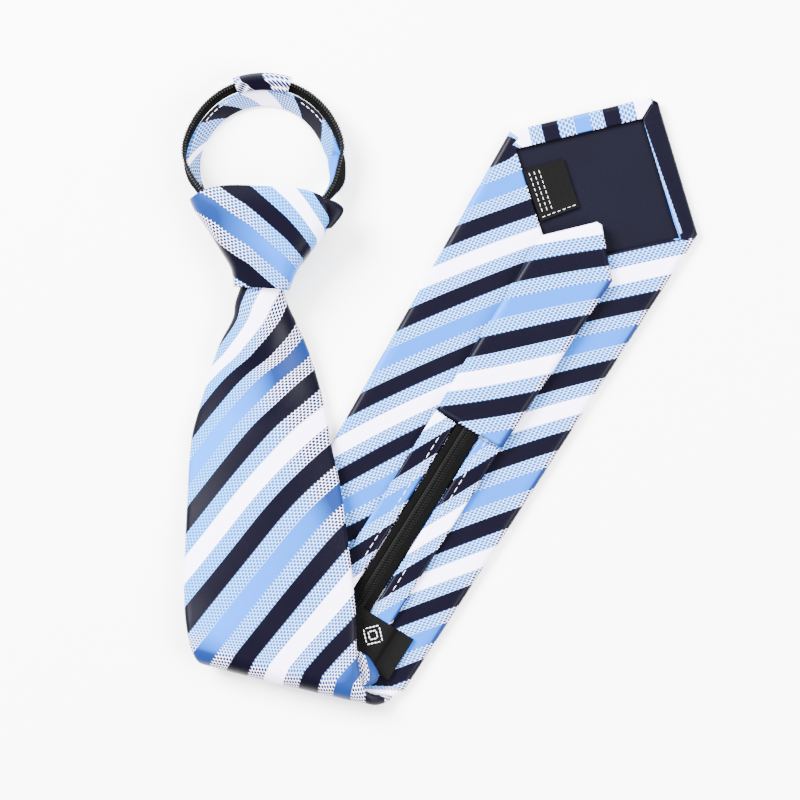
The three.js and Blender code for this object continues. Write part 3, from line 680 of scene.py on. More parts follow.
def striped_weave(name, colours, repeat):
    """Silk with navy bars, plain satin bars and bars of small woven ovals, with painted light and
    shade on the blue bars and the check.
    """
    w = Weave(name)
    stripe = w.attribute("stripe", "Fac")
    place = w.separate(w.attribute("cloth", "Vector"))
    thread = place[2]
    depth = w.math("MULTIPLY", stripe, repeat)
    nearest = w.math("ROUND", stripe)
    off = w.math("ABSOLUTE", w.math("SUBTRACT", stripe, nearest))
    navy_out = w.step(off, *NAVY_EDGE)
    satin_in = w.step(off, *SATIN_EDGE)
    odd = w.math("GREATER_THAN", w.math("FLOORED_MODULO", stripe, 2.0), 1.0)
    # Ovals in rows along the bar, every other row moved by half an oval.
    row = w.math("DIVIDE", depth, OVAL_ROW)
    row_number = w.math("FLOOR", row)
    shift = w.math("MULTIPLY", w.math("FLOORED_MODULO", row_number, 2.0), 0.5)
    column = w.math("ADD", w.math("DIVIDE", thread, OVAL_STEP), shift)
    in_row = w.math("SUBTRACT", w.math("FRACT", row), 0.5)
    in_column = w.math("SUBTRACT", w.math("FRACT", column), 0.5)
    round_row = w.math("POWER", w.math("DIVIDE", in_row, OVAL_WIDE), 2.0)
    round_column = w.math("POWER", w.math("DIVIDE", in_column, OVAL_LONG), 2.0)
    outside = w.step(w.math("ADD", round_row, round_column), *OVAL_EDGE)
    oval = w.math("SUBTRACT", 1.0, outside)
    # Fine twill of the satin and the navy bars.
    twill = w.wave(w.math("ADD", depth, thread), TWILL_STEP)
    cloud = w.noise(90.0, 3.0)
    # Painted light and shade: how far the normal faces LIGHT_WAY, less the painted shade
    # attribute.
    lit = w.facing(LIGHT_WAY, *LIGHT_RANGE)
    lit = w.step(w.math("SUBTRACT", lit, w.attribute("shade", "Fac")), 0.0, 1.0)
    # Lit and painted shade copies of the check ovals, of the check ground (white in painted shade)
    # and of the blue satin.
    ovals = w.blend(lit, rgba(colours.check_shade), rgba(colours.check_oval))
    ground = w.blend(lit, rgba(colours.white), rgba(colours.check_ground_lit))
    check = w.blend(oval, ground, ovals)
    blue = w.blend(lit, rgba(colours.blue_shade), rgba(colours.blue))
    satin = w.blend(odd, blue, rgba(colours.white))
    inner = w.blend(satin_in, check, satin)
    colour = w.blend(navy_out, rgba(colours.navy), inner)
    darker = w.blend(w.number(twill, 0.10, 0.0), colour, (0.0, 0.0, 0.0, 1.0))
    in_check = w.math("MULTIPLY", navy_out, w.math("SUBTRACT", 1.0, satin_in))
    height = w.math("ADD", w.math("MULTIPLY", in_check, oval), w.math("MULTIPLY", twill, 0.12))
    w.bump(height, 0.5, 0.00018)
    w.surface(darker, w.number(cloud, 0.30, 0.38), 0.04)
    return w.material


def dark_lining(name, colour):
    """Plain weave lining with a soft sheen."""
    w = Weave(name)
    grain = w.noise(1400.0, 2.0)
    base = w.mottled(w.noise(60.0, 2.0), 0.25, colour, (0.0026, 0.0025, 0.0065))
    w.bump(grain, 0.3, 0.0001)
    w.surface(base, w.number(grain, 0.5, 0.62), 0.03)
    return w.material


def woven_tape(name, colour):
    """Black zip tape with its herringbone rib."""
    w = Weave(name)
    place = w.separate(w.attribute("cloth", "Vector"))
    zigzag = w.math("PINGPONG", place[1], 0.8)
    rib = w.wave(w.math("ADD", place[0], zigzag), 0.7)
    w.bump(rib, 0.6, 0.00018)
    base = w.mottled(rib, 0.5, colour, (0.0024, 0.0024, 0.0024))
    w.surface(base, w.number(rib, 0.85, 0.7), 0.02)
    return w.material


def label_cloth(name, colour):
    """Black satin label with fine woven lines."""
    w = Weave(name)
    place = w.separate(w.attribute("cloth", "Vector"))
    line = w.wave(place[0], 0.45)
    w.bump(line, 0.4, 0.0001)
    base = w.mottled(line, 0.4, colour, (0.0024, 0.0024, 0.0024))
    w.surface(base, w.number(line, 0.5, 0.65), 0.03)
    return w.material


def smooth_plastic(name, colour, rough, specular):
    """Nylon or moulded plastic, with slightly uneven gloss."""
    w = Weave(name)
    cloud = w.noise(300.0, 2.0)
    base = w.mottled(cloud, 0.3, colour, (0.0022, 0.0022, 0.0024))
    w.surface(base, w.number(cloud, rough, rough + 0.1), specular)
    return w.material


def thread(name, colour):
    """Twisted sewing thread."""
    w = Weave(name)
    ply = w.noise(2500.0, 1.0)
    w.bump(ply, 0.3, 0.0001)
    base = w.mottled(ply, 0.4, colour, (0.55, 0.55, 0.6))
    w.surface(base, w.number(ply, 0.5, 0.7), 0.3)
    return w.material


def plain_floor(name, colour):
    """Matt pale table."""
    w = Weave(name)
    cloud = w.noise(8.0, 2.0)
    base = w.mottled(cloud, 0.02, colour, (0.8, 0.8, 0.8))
    w.surface(base, w.number(cloud, 0.9, 0.95), 0.1)
    return w.material


FINISHES = {}


def finish_of(name, make, *values):
    """Makes a material once and keeps it for the next piece."""
    if name not in FINISHES:
        FINISHES[name] = make(name, *values)
    return FINISHES[name]


# Cloth.

def folded_section(length, thick, flap, wall, counts):
    """Cut through cloth folded under at both sides.

    Each point is (across, lift, place from -2 to 2, way round from the middle).
    """
    half = length / 2
    turn = thick / 2
    reach = min(turn, half * 0.28)
    face, arc, under = counts
    end = half - flap
    inner = turn - wall
    small = max(reach - wall, reach * 0.35)
    outside = [((half - reach) * i / face, turn) for i in range(face)]
    for i in range(arc + 1):
        angle = math.pi / 2 - math.pi * i / arc
        outside.append((half - reach + reach * math.cos(angle), turn * math.sin(angle)))
    bottom = min(end, half - reach)
    for i in range(1, under + 1):
        x = mix(half - reach, bottom, i / under)
        outside.append((x, -turn))
    inside = [((half - reach) * i / face, inner) for i in range(face)]
    for i in range(arc + 1):
        angle = math.pi / 2 - math.pi * i / arc
        inside.append((half - reach + small * math.cos(angle), inner * math.sin(angle)))
    for i in range(1, under + 1):
        inside.append((mix(half - reach, bottom, i / under), -inner))

    def marked(side):
        made = []
        around = 0.0
        last = side[0]
        for number, (x, y) in enumerate(side):
            around += math.hypot(x - last[0], y - last[1])
            last = (x, y)
            share = x / half
            made.append((x, y, share if number < face + arc / 2 else 2 - share, around))
        return made

    outer, inner_side = marked(outside), marked(inside)
    ring = [(-x, y, -s, -a) for x, y, s, a in reversed(outer[1:])] + outer
    ring += list(reversed(inner_side)) + [(-x, y, -s, -a) for x, y, s, a in inner_side[1:]]
    return ring


def hem_depth(point, start, end):
    """Distance from a hem's outer edge, and how far along the edge."""
    way = (end - start).normalized()
    off = point - start
    return abs(off.x * way.y - off.y * way.x), off.dot(way)


def stripe_at(cross, place, point):
    """Stripe count of the blade, on its face, its flaps and the hem of its tip."""
    left, right = cross.stripes
    if place < -1:
        value = left + FLAP_LEFT_DROP * (place + 1)
        if cross.hem and (point - SHOULDER_LEFT).dot(LEFT_MITRE) > 0:
            _, along = hem_depth(point, SHOULDER_LEFT, TIP_POINT)
            way = (TIP_POINT - SHOULDER_LEFT).normalized()
            value = mix(value, reading(HEM_STRIPES, SHOULDER_LEFT.x + along * way.x), cross.hem)
        return value
    if place > 1:
        value = right + FLAP_RIGHT_RISE * (place - 1)
        if cross.hem and (point - SHOULDER_RIGHT).dot(RIGHT_MITRE) > 0:
            depth, along = hem_depth(point, TIP_POINT, SHOULDER_RIGHT)
            whole = (SHOULDER_RIGHT - TIP_POINT).length
            sliver = mix(*HEM_NAVY, max(0.0, min(1.0, along / whole)))
            value = mix(value, 12.0 + 0.135 * (depth / sliver) ** 6, cross.hem)
        return value
    return mix(left, right, (place + 1) / 2) + cross.bulge * (1 - place * place)


def front_shade(cross, place, point):
    """Painted shade on the front: it darkens to its right side, to its lower left corner and at
    the fold.
    """
    if not cross.front or abs(place) > 1.15:
        return 0.0
    right = (point.x - reading(FRONT_SHADE, point.y) + 8.0) / 22.0
    corner = (-point.y - 0.55 * (point.x + 95.0) - 84.0) / 14.0
    return max(0.0, min(0.9, right), min(0.85, corner))


def no_shade(cross, place, point):
    return 0.0


def folded_cloth(name, crosses, thick, wall, material, counts, stripe, shade=no_shade):
    """Cloth folded under at both sides, from cut to cut."""
    skin = Skin()
    rings = []
    for cross in crosses:
        ring = []
        section = folded_section(cross.length, thick, cross.flap, wall, counts)
        for across, lift, place, around in section:
            point = cross.place(across, lift)
            ring.append(skin.add(
                point, stripe(cross, place, point), cross.run, around,
                shade=shade(cross, place, point)))
        rings.append(ring)
    skin.join_all(rings)
    split = len(rings[0]) // 2 + 1
    skin.close_layers(rings[0], split, False)
    skin.close_layers(rings[-1], split, True)
    return skin.piece(name, material)


def both_layers(wide, top, bottom):
    """Places across a thin sheet, out along its top and back along its underside."""
    out = [(i, top) for i in range(wide + 1)]
    return out + [(i, bottom) for i in range(wide, -1, -1)]


def back_edges(share):
    """Both edges of the back part, from the fold (0) to the shoulders (1)."""
    return BACK_LEFT.lerp(SHOULDER_LEFT, share), BACK_RIGHT.lerp(SHOULDER_RIGHT, share)


def tip_edges(share):
    """Both edges of the tip, from the shoulders (0) to the point (1)."""
    return SHOULDER_LEFT.lerp(TIP_POINT, share), SHOULDER_RIGHT.lerp(TIP_POINT, share)


def blade_crosses(thick):
    """Cuts of the blade from the knot down the front, round the fold and up to the tip."""
    crosses = []
    for row in smooth_rows(FRONT_ROWS, FRONT_STEPS):
        cross = Cross(Vector(row[0:3]), Vector(row[3:6]), row[6])
        cross.stripes = (
            reading(FRONT_LEFT_STRIPES, row[1]), reading(FRONT_RIGHT_STRIPES, row[4]),
        )
        cross.bulge = reading(STRIPE_BULGE, cross.centre.y)
        cross.front = True
        crosses.append(cross)
    start = crosses[-1]
    side = [
        start.stripes[i] + FOLD_RADIUS * FOLD_STRIPE_SLOPE[i] for i in range(2)
    ]
    back_stripes = (BACK_LEFT_STRIPES[0][1], BACK_RIGHT_STRIPES[0][1])
    for step in range(1, FOLD_STEPS):
        share = step / FOLD_STEPS
        angle = share * math.pi
        out = FOLD_OUT * FOLD_RADIUS * math.sin(angle)
        left = start.left.lerp(BACK_LEFT, share) + out
        right = start.right.lerp(BACK_RIGHT, share) + out
        left.z = right.z = FOLD_MIDDLE + FOLD_RADIUS * math.cos(angle)
        cross = Cross(left, right, 6 * (1 - share))
        cross.front = True
        if share < 0.5:
            cross.bulge = start.bulge
            cross.stripes = tuple(
                mix(start.stripes[i], side[i], math.sin(angle)) for i in range(2)
            )
        else:
            cross.stripes = tuple(
                mix(side[i], back_stripes[i], 2 * share - 1) for i in range(2)
            )
        crosses.append(cross)
    for step in range(BACK_STEPS + 1):
        share = step / BACK_STEPS
        cross = Cross(*back_edges(share), 0, DOWN.copy())
        cross.stripes = (
            reading(BACK_LEFT_STRIPES, share), reading(BACK_RIGHT_STRIPES, share),
        )
        cross.share = share
        cross.hem = 1.0 if share > HEM_FROM else 0.0
        crosses.append(cross)
    for step in range(1, TIP_STEPS + 1):
        share = TIP_END * step / TIP_STEPS
        cross = Cross(*tip_edges(share), 0, DOWN.copy())
        cross.stripes = (mix(*TIP_LEFT_STRIPES, share), mix(*TIP_RIGHT_STRIPES, share))
        cross.share = 1 + share
        cross.hem = 1.0
        crosses.append(cross)
    settle(crosses, thick)
    for cross in crosses:
        half = cross.length / 2
        closed = half - SEAM_HALF
        if cross.share > OPENING_START:
            left = max(0.0, OPENING_END - cross.share) / (OPENING_END - OPENING_START)
            hem = HEM - max(0.0, 1.0 - cross.share) * HEM_GROWTH
            closed = min(closed, max(half * left, hem))
        cross.flap = closed
    return crosses


def tail_cross(row, up):
    turn = math.radians(row[3])
    across = Vector((math.cos(turn), math.sin(turn), 0))
    centre = Vector(row[0:3])
    half = TAIL_WIDTH / 2
    return Cross(centre - across * half, centre + across * half, row[4], up)


def tail_crosses():
    """Cuts of the tail from the knot down, round its fold and up into the pull tab."""
    rows = smooth_rows(TAIL_ROWS, TAIL_STEPS)
    crosses = [tail_cross(row, None) for row in rows]
    start, end = rows[-1], TAIL_BACK_ROWS[0]
    radius = (start[2] - end[2]) / 2
    for step in range(1, TAIL_FOLD_STEPS):
        share = step / TAIL_FOLD_STEPS
        angle = share * math.pi
        out = radius * math.sin(angle)
        crosses.append(tail_cross((
            mix(start[0], end[0], share) + FOLD_OUT.x * out,
            mix(start[1], end[1], share) + FOLD_OUT.y * out,
            (start[2] + end[2]) / 2 + radius * math.cos(angle),
            mix(start[3], end[3], share),
            0,
        ), None))
    fold = len(crosses)
    for low, high in zip(TAIL_BACK_ROWS, TAIL_BACK_ROWS[1:]):
        for step in range(TAIL_BACK_STEPS):
            row = [mix(low[k], high[k], step / TAIL_BACK_STEPS) for k in range(5)]
            crosses.append(tail_cross(row, DOWN.copy()))
    last = TAIL_BACK_ROWS[-1]
    crosses.append(tail_cross(last, DOWN.copy()))
    end = Vector(last[0:3]) + TAIL_UP * ZIP_INTO_TAB
    crosses.append(tail_cross((end.x, end.y, end.z, last[3], 0), DOWN.copy()))
    settle(crosses, 0)
    for cross in crosses:
        cross.length = TAIL_WIDTH
    return crosses, fold


def strip_stripes(middle, first, fold_run):
    """Stripe count of a tail strip, whose bars slant the other way before the fold."""
    def stripe(cross, across):
        way = 1 if cross.run >= fold_run else -1
        place = (across - middle) * 2.0 * way
        return first + (cross.run - fold_run - place - TAIL_STRIPE_START) / TAIL_STRIPE_STEP
    return stripe


def flat_section(low, high, thick, sides):
    """Cut through a flat band with rounded edges, all the way round: (across, lift)."""
    wide, arc = sides
    turn = thick / 2
    reach = min(turn, (high - low) * 0.3)
    section = []
    for start, end, first in (
        (low + reach, high - reach, math.pi / 2), (high - reach, low + reach, -math.pi / 2),
    ):
        lift = math.copysign(turn, first)
        section += [(mix(start, end, i / wide), lift) for i in range(wide + 1)]
        for i in range(1, arc):
            angle = first - math.pi * i / arc
            section.append((end + reach * math.cos(angle), turn * math.sin(angle)))
    return section


def band(name, crosses, low, high, thick, material, stripe, sides):
    """Flat band with rounded edges between two places across the cuts."""
    skin = Skin()
    rings = []
    section = flat_section(low, high, thick, sides)
    for cross in crosses:
        ring = []
        for across, lift in section:
            value = stripe(cross, across) if stripe else 0.0
            bar = across * 0.447 + cross.run * 0.894
            ring.append(skin.add(cross.place(across, lift), value, cross.run, across, bar))
        rings.append(ring)
    skin.loft(rings)
    return skin.piece(name, material)


def lobe(name, rows, thick, material, shade):
    """Small turned-out part of the cloth: rows of left and right edge with their stripes, and one
    painted shade for all its points.
    """
    skin = Skin()
    rings = []
    rows = [(Vector(left), Vector(right), low, high) for left, right, low, high in rows]
    for left, right, low, high in smooth_rows(rows, LOBE_STEPS):
        ring = []
        for i, lift in both_layers(LOBE_WIDE, thick / 2, -thick / 2):
            share = i / LOBE_WIDE
            rise = LOBE_RISE * math.sin(math.pi * share)
            edge = 1.0 if 0 < i < LOBE_WIDE else 0.5
            point = left.lerp(right, share) + UP * (rise + lift * edge)
            stripe = mix(low, high, share)
            ring.append(skin.add(point, stripe, point.x, point.y, -point.y, shade))
        rings.append(ring)
    skin.loft(rings)
    return skin.piece(name, material)


def loop_point(angle, radius, height):
    turn = math.radians(angle)
    return Vector((LOOP_X + radius * math.cos(turn), LOOP_Y + radius * math.sin(turn), height))


def loop_row(rows, angle):
    """Row of the loop at an angle."""
    for low, high in zip(rows, rows[1:]):
        if low[0] <= angle <= high[0]:
            share = (angle - low[0]) / (high[0] - low[0])
            return tuple(mix(low[k], high[k], share) for k in range(len(low)))
    return rows[-1]


def loop_part(rows, start, end):
    """Rows of the loop between two angles, with a row at each end."""
    inner = [row for row in rows if start + 0.4 < row[0] < end - 0.4]
    return [loop_row(rows, start)] + inner + [loop_row(rows, end)]


def loop_edges(row):
    """Cloth edge, seam and teeth edge of a row, and the way along the loop."""
    turn = math.radians(row[0])
    radial = Vector((math.cos(turn), math.sin(turn), 0))
    return (
        loop_point(row[0], row[1], row[2]),
        loop_point(row[0], row[3], row[4]),
        loop_point(row[0], row[5], row[6]),
        UP.cross(radial).normalized(),
    )


def loop_band(name, rows, low, high, span, thick, material, sides, stripe=None, shade=0.0):
    """Flat band round the loop, between two of its edges."""
    skin = Skin()
    rings = []
    for row in rows:
        edges = loop_edges(row)
        start = edges[low]
        direction = edges[high] - start
        size = direction.length
        direction.normalize()
        normal = direction.cross(edges[3]).normalized()
        run = math.radians(row[0]) * LOOP_RADIUS
        ring = []
        for place, lift in flat_section(*span(size), thick, sides):
            point = start + direction * place + normal * lift
            value = stripe(row[0], place, size) if stripe else 0.0
            bar = 0.62 * run + 0.79 * place
            ring.append(skin.add(point, value, run, place, bar, shade))
        rings.append(ring)
    skin.loft(rings)
    return skin.piece(name, material)


def loop_stripe(angle, place, size):
    """Bars cross the neck strip at a slant."""
    return reading(LOOP_STRIPES, angle - LOOP_LEAN * place / max(size, 0.1))


def knot_point(row, inset, angle):
    """Point on the rounded square cut of the knot, moved in from its face by an inset."""
    left = Vector((row[0], row[1], 0))
    right = Vector((row[2], row[3], 0))
    across = (right - left).normalized()
    axis = UP.cross(across)
    half_wide = (right - left).length / 2 - inset
    half_tall = (row[5] - row[4]) / 2 - inset
    cosine = math.cos(math.radians(angle))
    sine = math.sin(math.radians(angle))
    share_across = math.copysign(abs(cosine) ** 0.5, cosine)
    share_up = math.copysign(abs(sine) ** 0.5, sine)
    return (
        (left + right) / 2
        + across * share_across * half_wide
        + UP * ((row[5] + row[4]) / 2 + share_up * half_tall)
        + axis * row[6] * (1 - share_across ** 4)
    )


def knot_mark(skin, point, row):
    """Adds a point of the knot with the stripe that runs down across it and its painted shade."""
    middle = (row[0] + row[2]) / 2
    drop = math.copysign(max(0.0, row[5] - point.z - 3.0), point.x - middle)
    x = point.x + drop * 0.35
    stripe = (reading(KNOT_STRIPE, x) - point.y) / KNOT_STRIPE_STEP
    # Painted shade: the knot's left side is painted shaded, its right side painted lit (negative
    # shade).
    shade = 0.85 - (x + 86.0) / 20.0
    bar = (point.x + drop) * 0.77 - point.y * 0.64
    return skin.add(point, stripe, -point.y, x, bar, max(-1.0, min(0.9, shade)))


def wire_ring(skin, middle, side, other, radius):
    """Round cut of a wire or a thread."""
    ring = []
    for k in range(WIRE_SIDES):
        turn = 2 * math.pi * k / WIRE_SIDES
        ring.append(skin.add(
            middle + side * radius * math.cos(turn) + other * radius * math.sin(turn)))
    return ring


def spots_along(cuts, pitch):
    """Evenly spaced places along a band, each with its own directions."""
    spots = []
    carry = 0.0
    for (first, side_a, up_a), (second, side_b, up_b) in zip(cuts, cuts[1:]):
        step = (second - first).length
        along = (second - first).normalized()
        while carry < step:
            share = carry / step
            across = side_a.lerp(side_b, share).normalized()
            up = up_a.lerp(up_b, share).normalized()
            spots.append((first.lerp(second, share), along, across, up))
            carry += pitch
        carry -= step
    return spots


def coil_turn(reach):
    """Places on one open loop of the coil, seen along the zip."""
    angles = [math.radians(mix(-reach, reach, i / 8)) for i in range(9)]
    return [(math.cos(angle), math.sin(angle)) for angle in angles]


def closed_chain(name, spots, width, thick, pitch, material):
    """Two rows of zip loops that hold each other: one loop at each spot, side by side."""
    skin = Skin()
    wire = pitch * 0.30
    for number, (centre, along, across, up) in enumerate(spots):
        way = 1 if number % 2 else -1
        rings = []
        for px, py in coil_turn(150):
            x = -way * mix(width / 2 - wire, -width * 0.10, (px + 1) / 2)
            y = py * (thick / 2 - wire)
            tangent = (across * (way * py) + up * px).normalized()
            other = tangent.cross(along).normalized()
            rings.append(wire_ring(skin, centre + across * x + up * y, along, other, wire))
        skin.loft(rings)
    return skin.piece(name, material)


def open_coil(name, spots, width, thick, pitch, material):
    """One row of zip loops along the edge of a tape."""
    skin = Skin()
    wire = pitch * 0.28
    for centre, along, across, up in spots:
        rings = []
        for px, py in coil_turn(155):
            middle = centre + across * px * (width / 2 - wire) + up * py * (thick / 2 - wire)
            tangent = (across * -py + up * px).normalized()
            other = tangent.cross(along).normalized()
            rings.append(wire_ring(skin, middle, along, other, wire))
        skin.loft(rings)
    return skin.piece(name, material)


def stitches(name, paths, length, gap, radius, material):
    """Running stitches along paths of (point, up) pairs."""
    skin = Skin()
    for path in paths:
        sew(skin, path, length, gap, radius)
    return skin.piece(name, material)


def place_on(path, distance, run):
    """Point and upward way at a distance along a path."""
    index = 0
    while index < len(path) - 2 and run > distance[index + 1]:
        index += 1
    step = distance[index + 1] - distance[index]
    share = (run - distance[index]) / max(step, 1e-6)
    (first, first_up), (second, second_up) = path[index], path[index + 1]
    return first.lerp(second, share), first_up.lerp(second_up, share).normalized()


def sew(skin, path, length, gap, radius):
    """One row of stitches, each arched and thin at both ends."""
    distance = [0.0]
    for (first, _), (second, _) in zip(path, path[1:]):
        distance.append(distance[-1] + (second - first).length)
    total = distance[-1]
    start = gap / 2
    while start + length < total:
        rings = []
        for i in range(STITCH_CUTS + 1):
            share = i / STITCH_CUTS
            run = start + length * share
            point, up = place_on(path, distance, run)
            ahead, _ = place_on(path, distance, min(total, run + 0.1))
            side = (ahead - point).normalized().cross(up).normalized()
            rise = radius * (1.0 - 4.4 * (share - 0.5) ** 2)
            size = radius * (0.45 + 0.55 * math.sin(math.pi * min(max(share, 0.08), 0.92)))
            rings.append(wire_ring(skin, point + up * (rise * 0.5), side, up, size))
        skin.loft(rings)
        start += length + gap


def keeper_label_ways():
    """Ways across and along the label that keeps the tail."""
    turn = math.radians(KEEPER_LABEL_TURN)
    across = Vector((math.cos(turn), math.sin(turn), 0))
    return across, Vector((-across.y, across.x, 0))


# Settings.

class TieColours(bpy.types.PropertyGroup):
    """Colours of the cloth, the zip and the thread."""

    navy: bpy.props.FloatVectorProperty(
        name="Navy", description="Dark bars", subtype="COLOR", size=3,
        default=(0.0016, 0.0013, 0.0044), min=0.0, max=1.0)
    # Blue and Blue shade, Check ovals and Check shade, and Check ground with White are lit and
    # painted shade copies of the same yarns, mixed by the weave's painted light.
    blue: bpy.props.FloatVectorProperty(
        name="Blue", description="Blue satin bars, turned to the light", subtype="COLOR",
        size=3, default=(0.0022, 0.114, 0.56), min=0.0, max=1.0)
    blue_shade: bpy.props.FloatVectorProperty(
        name="Blue shade", description="Blue satin bars, turned from the light",
        subtype="COLOR", size=3, default=(0.0048, 0.0185, 0.090), min=0.0, max=1.0)
    white: bpy.props.FloatVectorProperty(
        name="White", description="White satin bars", subtype="COLOR", size=3,
        default=(0.78, 0.74, 0.97), min=0.0, max=1.0)
    # Check ground is the painted-light colour of the ground between the ovals; in painted shade
    # the ground is White.
    check_ground_lit: bpy.props.FloatVectorProperty(
        name="Check ground", description="Ground between the ovals", subtype="COLOR", size=3,
        default=(0.10, 0.36, 0.88), min=0.0, max=1.0)
    check_oval: bpy.props.FloatVectorProperty(
        name="Check ovals", description="Small woven ovals, turned to the light",
        subtype="COLOR", size=3, default=(0.012, 0.088, 0.30), min=0.0, max=1.0)
    check_shade: bpy.props.FloatVectorProperty(
        name="Check shade", description="Small woven ovals, turned from the light",
        subtype="COLOR", size=3, default=(0.0046, 0.0095, 0.038), min=0.0, max=1.0)
    lining: bpy.props.FloatVectorProperty(
        name="Lining", description="Lining under the tip", subtype="COLOR", size=3,
        default=(0.0016, 0.0015, 0.0042), min=0.0, max=1.0)
    tape: bpy.props.FloatVectorProperty(
        name="Zip tape", description="Woven tape of the zip", subtype="COLOR", size=3,
        default=(0.0010, 0.0010, 0.0010), min=0.0, max=1.0)
    thread: bpy.props.FloatVectorProperty(
        name="Thread", description="Sewing thread", subtype="COLOR", size=3,
        default=(0.75, 0.75, 0.80), min=0.0, max=1.0)


class TieSizes(bpy.types.PropertyGroup):
    """Sizes of the cloth, the zip and the stitches."""

    blade_thick: bpy.props.FloatProperty(
        name="Blade padding", description="Thickness of the folded blade",
        default=4.0 * MM, min=0.002, max=0.006, unit="LENGTH")
    cloth: bpy.props.FloatProperty(
        name="Cloth", description="Thickness of one layer of cloth",
        default=1.0 * MM, min=0.0004, max=0.0014, unit="LENGTH")
    coil_pitch: bpy.props.FloatProperty(
        name="Coil pitch", description="Distance between two loops of one zip row",
        default=1.05 * MM, min=0.0008, max=0.002, unit="LENGTH")
    stitch_long: bpy.props.FloatProperty(
        name="Stitch length", description="Length of one running stitch",
        default=2.2 * MM, min=0.001, max=0.004, unit="LENGTH")
    stitch_gap: bpy.props.FloatProperty(
        name="Stitch gap", description="Cloth between two stitches",
        default=1.1 * MM, min=0.0005, max=0.003, unit="LENGTH")


class TieStage(bpy.types.PropertyGroup):
    """Table, lights and camera."""

    floor: bpy.props.FloatVectorProperty(
        name="Floor", description="Colour of the table", subtype="COLOR", size=3,
        default=(0.95, 0.95, 0.955), min=0.0, max=1.0)
    key_power: bpy.props.FloatProperty(
        name="Key light", description="Power of the soft light above left",
        default=430.0, min=0.0, max=2000.0, unit="POWER")
    fill_power: bpy.props.FloatProperty(
        name="Fill light", description="Power of the softer light on the right",
        default=180.0, min=0.0, max=2000.0, unit="POWER")
    room_light: bpy.props.FloatProperty(
        name="Room light", description="Even light from all round",
        default=1.0, min=0.0, max=10.0)
    camera_height: bpy.props.FloatProperty(
        name="Camera height", description="Distance of the camera above the table",
        default=2.0, min=0.5, max=5.0, unit="LENGTH")


def colours():
    return bpy.context.scene.tie_colours


def sizes():
    return bpy.context.scene.tie_sizes


def silk():
    return finish_of("striped_silk", striped_weave, colours(), SILK_REPEAT)


def neck_silk():
    """The same silk, with its bars stretched along the narrow neck strip."""
    return finish_of("neck_silk", striped_weave, colours(), NECK_SILK_REPEAT)


# Operators.

class TIE_OT_blade(bpy.types.Operator):
    """Makes the wide blade, folded under at its sides, and its turned-out corner."""

    bl_idname = "tie.blade"
    bl_label = "Blade"

    def execute(self, context):
        thick = sizes().blade_thick / MM
        crosses = blade_crosses(thick)
        wall = sizes().cloth / MM
        piece = folded_cloth(
            "blade_cloth", crosses, thick, wall, silk(), (22, 8, 14), stripe_at, front_shade)
        finish_piece(piece, ["blade"])
        widest = max(cross.length for cross in crosses) * 2
        declare_sheet(piece, (widest, crosses[-1].run))
        # The turned-out corner at the fold is painted in shade (0.9).
        turned = lobe("blade_turned_corner_cloth", FOLD_LOBE, 1.0, silk(), 0.9)
        finish_piece(turned, [])
        declare_sheet(turned)
        return {"FINISHED"}


class TIE_OT_lining(bpy.types.Operator):
    """Lays the dark lining inside the open tip."""

    bl_idname = "tie.lining"
    bl_label = "Tip lining"

    def execute(self, context):
        half_thick = LINING_THICK / 2
        edges = [
            back_edges(mix(LINING_START, 1.0, i / LINING_STEPS)) for i in range(LINING_STEPS + 1)
        ]
        edges += [tip_edges(LINING_END * i / LINING_STEPS) for i in range(1, LINING_STEPS + 1)]
        skin = Skin()
        rings = []
        for left, right in edges:
            middle = (left + right) / 2
            middle.z = LINING_MIDDLE
            across = (right - left).normalized()
            half = (right - left).length / 2 - LINING_INSET
            ring = []
            for i, lift in both_layers(LINING_WIDE, half_thick, -half_thick):
                point = middle + across * mix(-half, half, i / LINING_WIDE) + UP * lift
                ring.append(skin.add(point, 0.0, point.x, point.y))
            rings.append(ring)
        skin.loft(rings)
        material = finish_of("lining_twill", dark_lining, colours().lining)
        piece = skin.piece("tip_lining_cloth", material, False)
        finish_piece(piece, ["tip_lining"])
        declare_sheet(piece)
        return {"FINISHED"}


class TIE_OT_labels(bpy.types.Operator):
    """Sews on the care label and the label that keeps the tail."""

    bl_idname = "tie.labels"
    bl_label = "Labels"

    def execute(self, context):
        material = finish_of("label_satin", label_cloth, colours().tape)
        self.care_label(material)
        self.keeper_label(material)
        return {"FINISHED"}

    def care_label(self, material):
        first, second, third, fourth = CARE_CORNERS
        skin = Skin()
        rings = []
        for row in range(CARE_ROWS + 1):
            left = fourth.lerp(third, row / CARE_ROWS)
            right = first.lerp(second, row / CARE_ROWS)
            ring = []
            for i, lift in both_layers(LABEL_WIDE, LABEL_THICK, 0.0):
                point = left.lerp(right, i / LABEL_WIDE) + UP * (CARE_BOTTOM + lift)
                ring.append(skin.add(point, 0.0, row * 1.6, i * 1.8))
            rings.append(ring)
        skin.loft(rings)
        piece = skin.piece("care_label_cloth", material, False)
        finish_piece(piece, ["care_label"])
        declare_sheet(piece)

    def keeper_label(self, material):
        across, along = keeper_label_ways()
        half_thick = LABEL_THICK / 2
        skin = Skin()
        rings = []
        for place, height in smooth_rows(KEEPER_LABEL_TABLE, 5):
            centre = KEEPER_LABEL_CENTRE + across * place + UP * height
            ring = []
            for i, lift in both_layers(LABEL_WIDE, half_thick, -half_thick):
                out = KEEPER_LABEL_LONG * (i / LABEL_WIDE - 0.5)
                ring.append(skin.add(centre + along * out + UP * lift, 0.0, place, out))
            rings.append(ring)
        skin.loft(rings)
        piece = skin.piece("keeper_label_cloth", material, False)
        finish_piece(piece, ["keeper_label"])
        declare_sheet(piece)


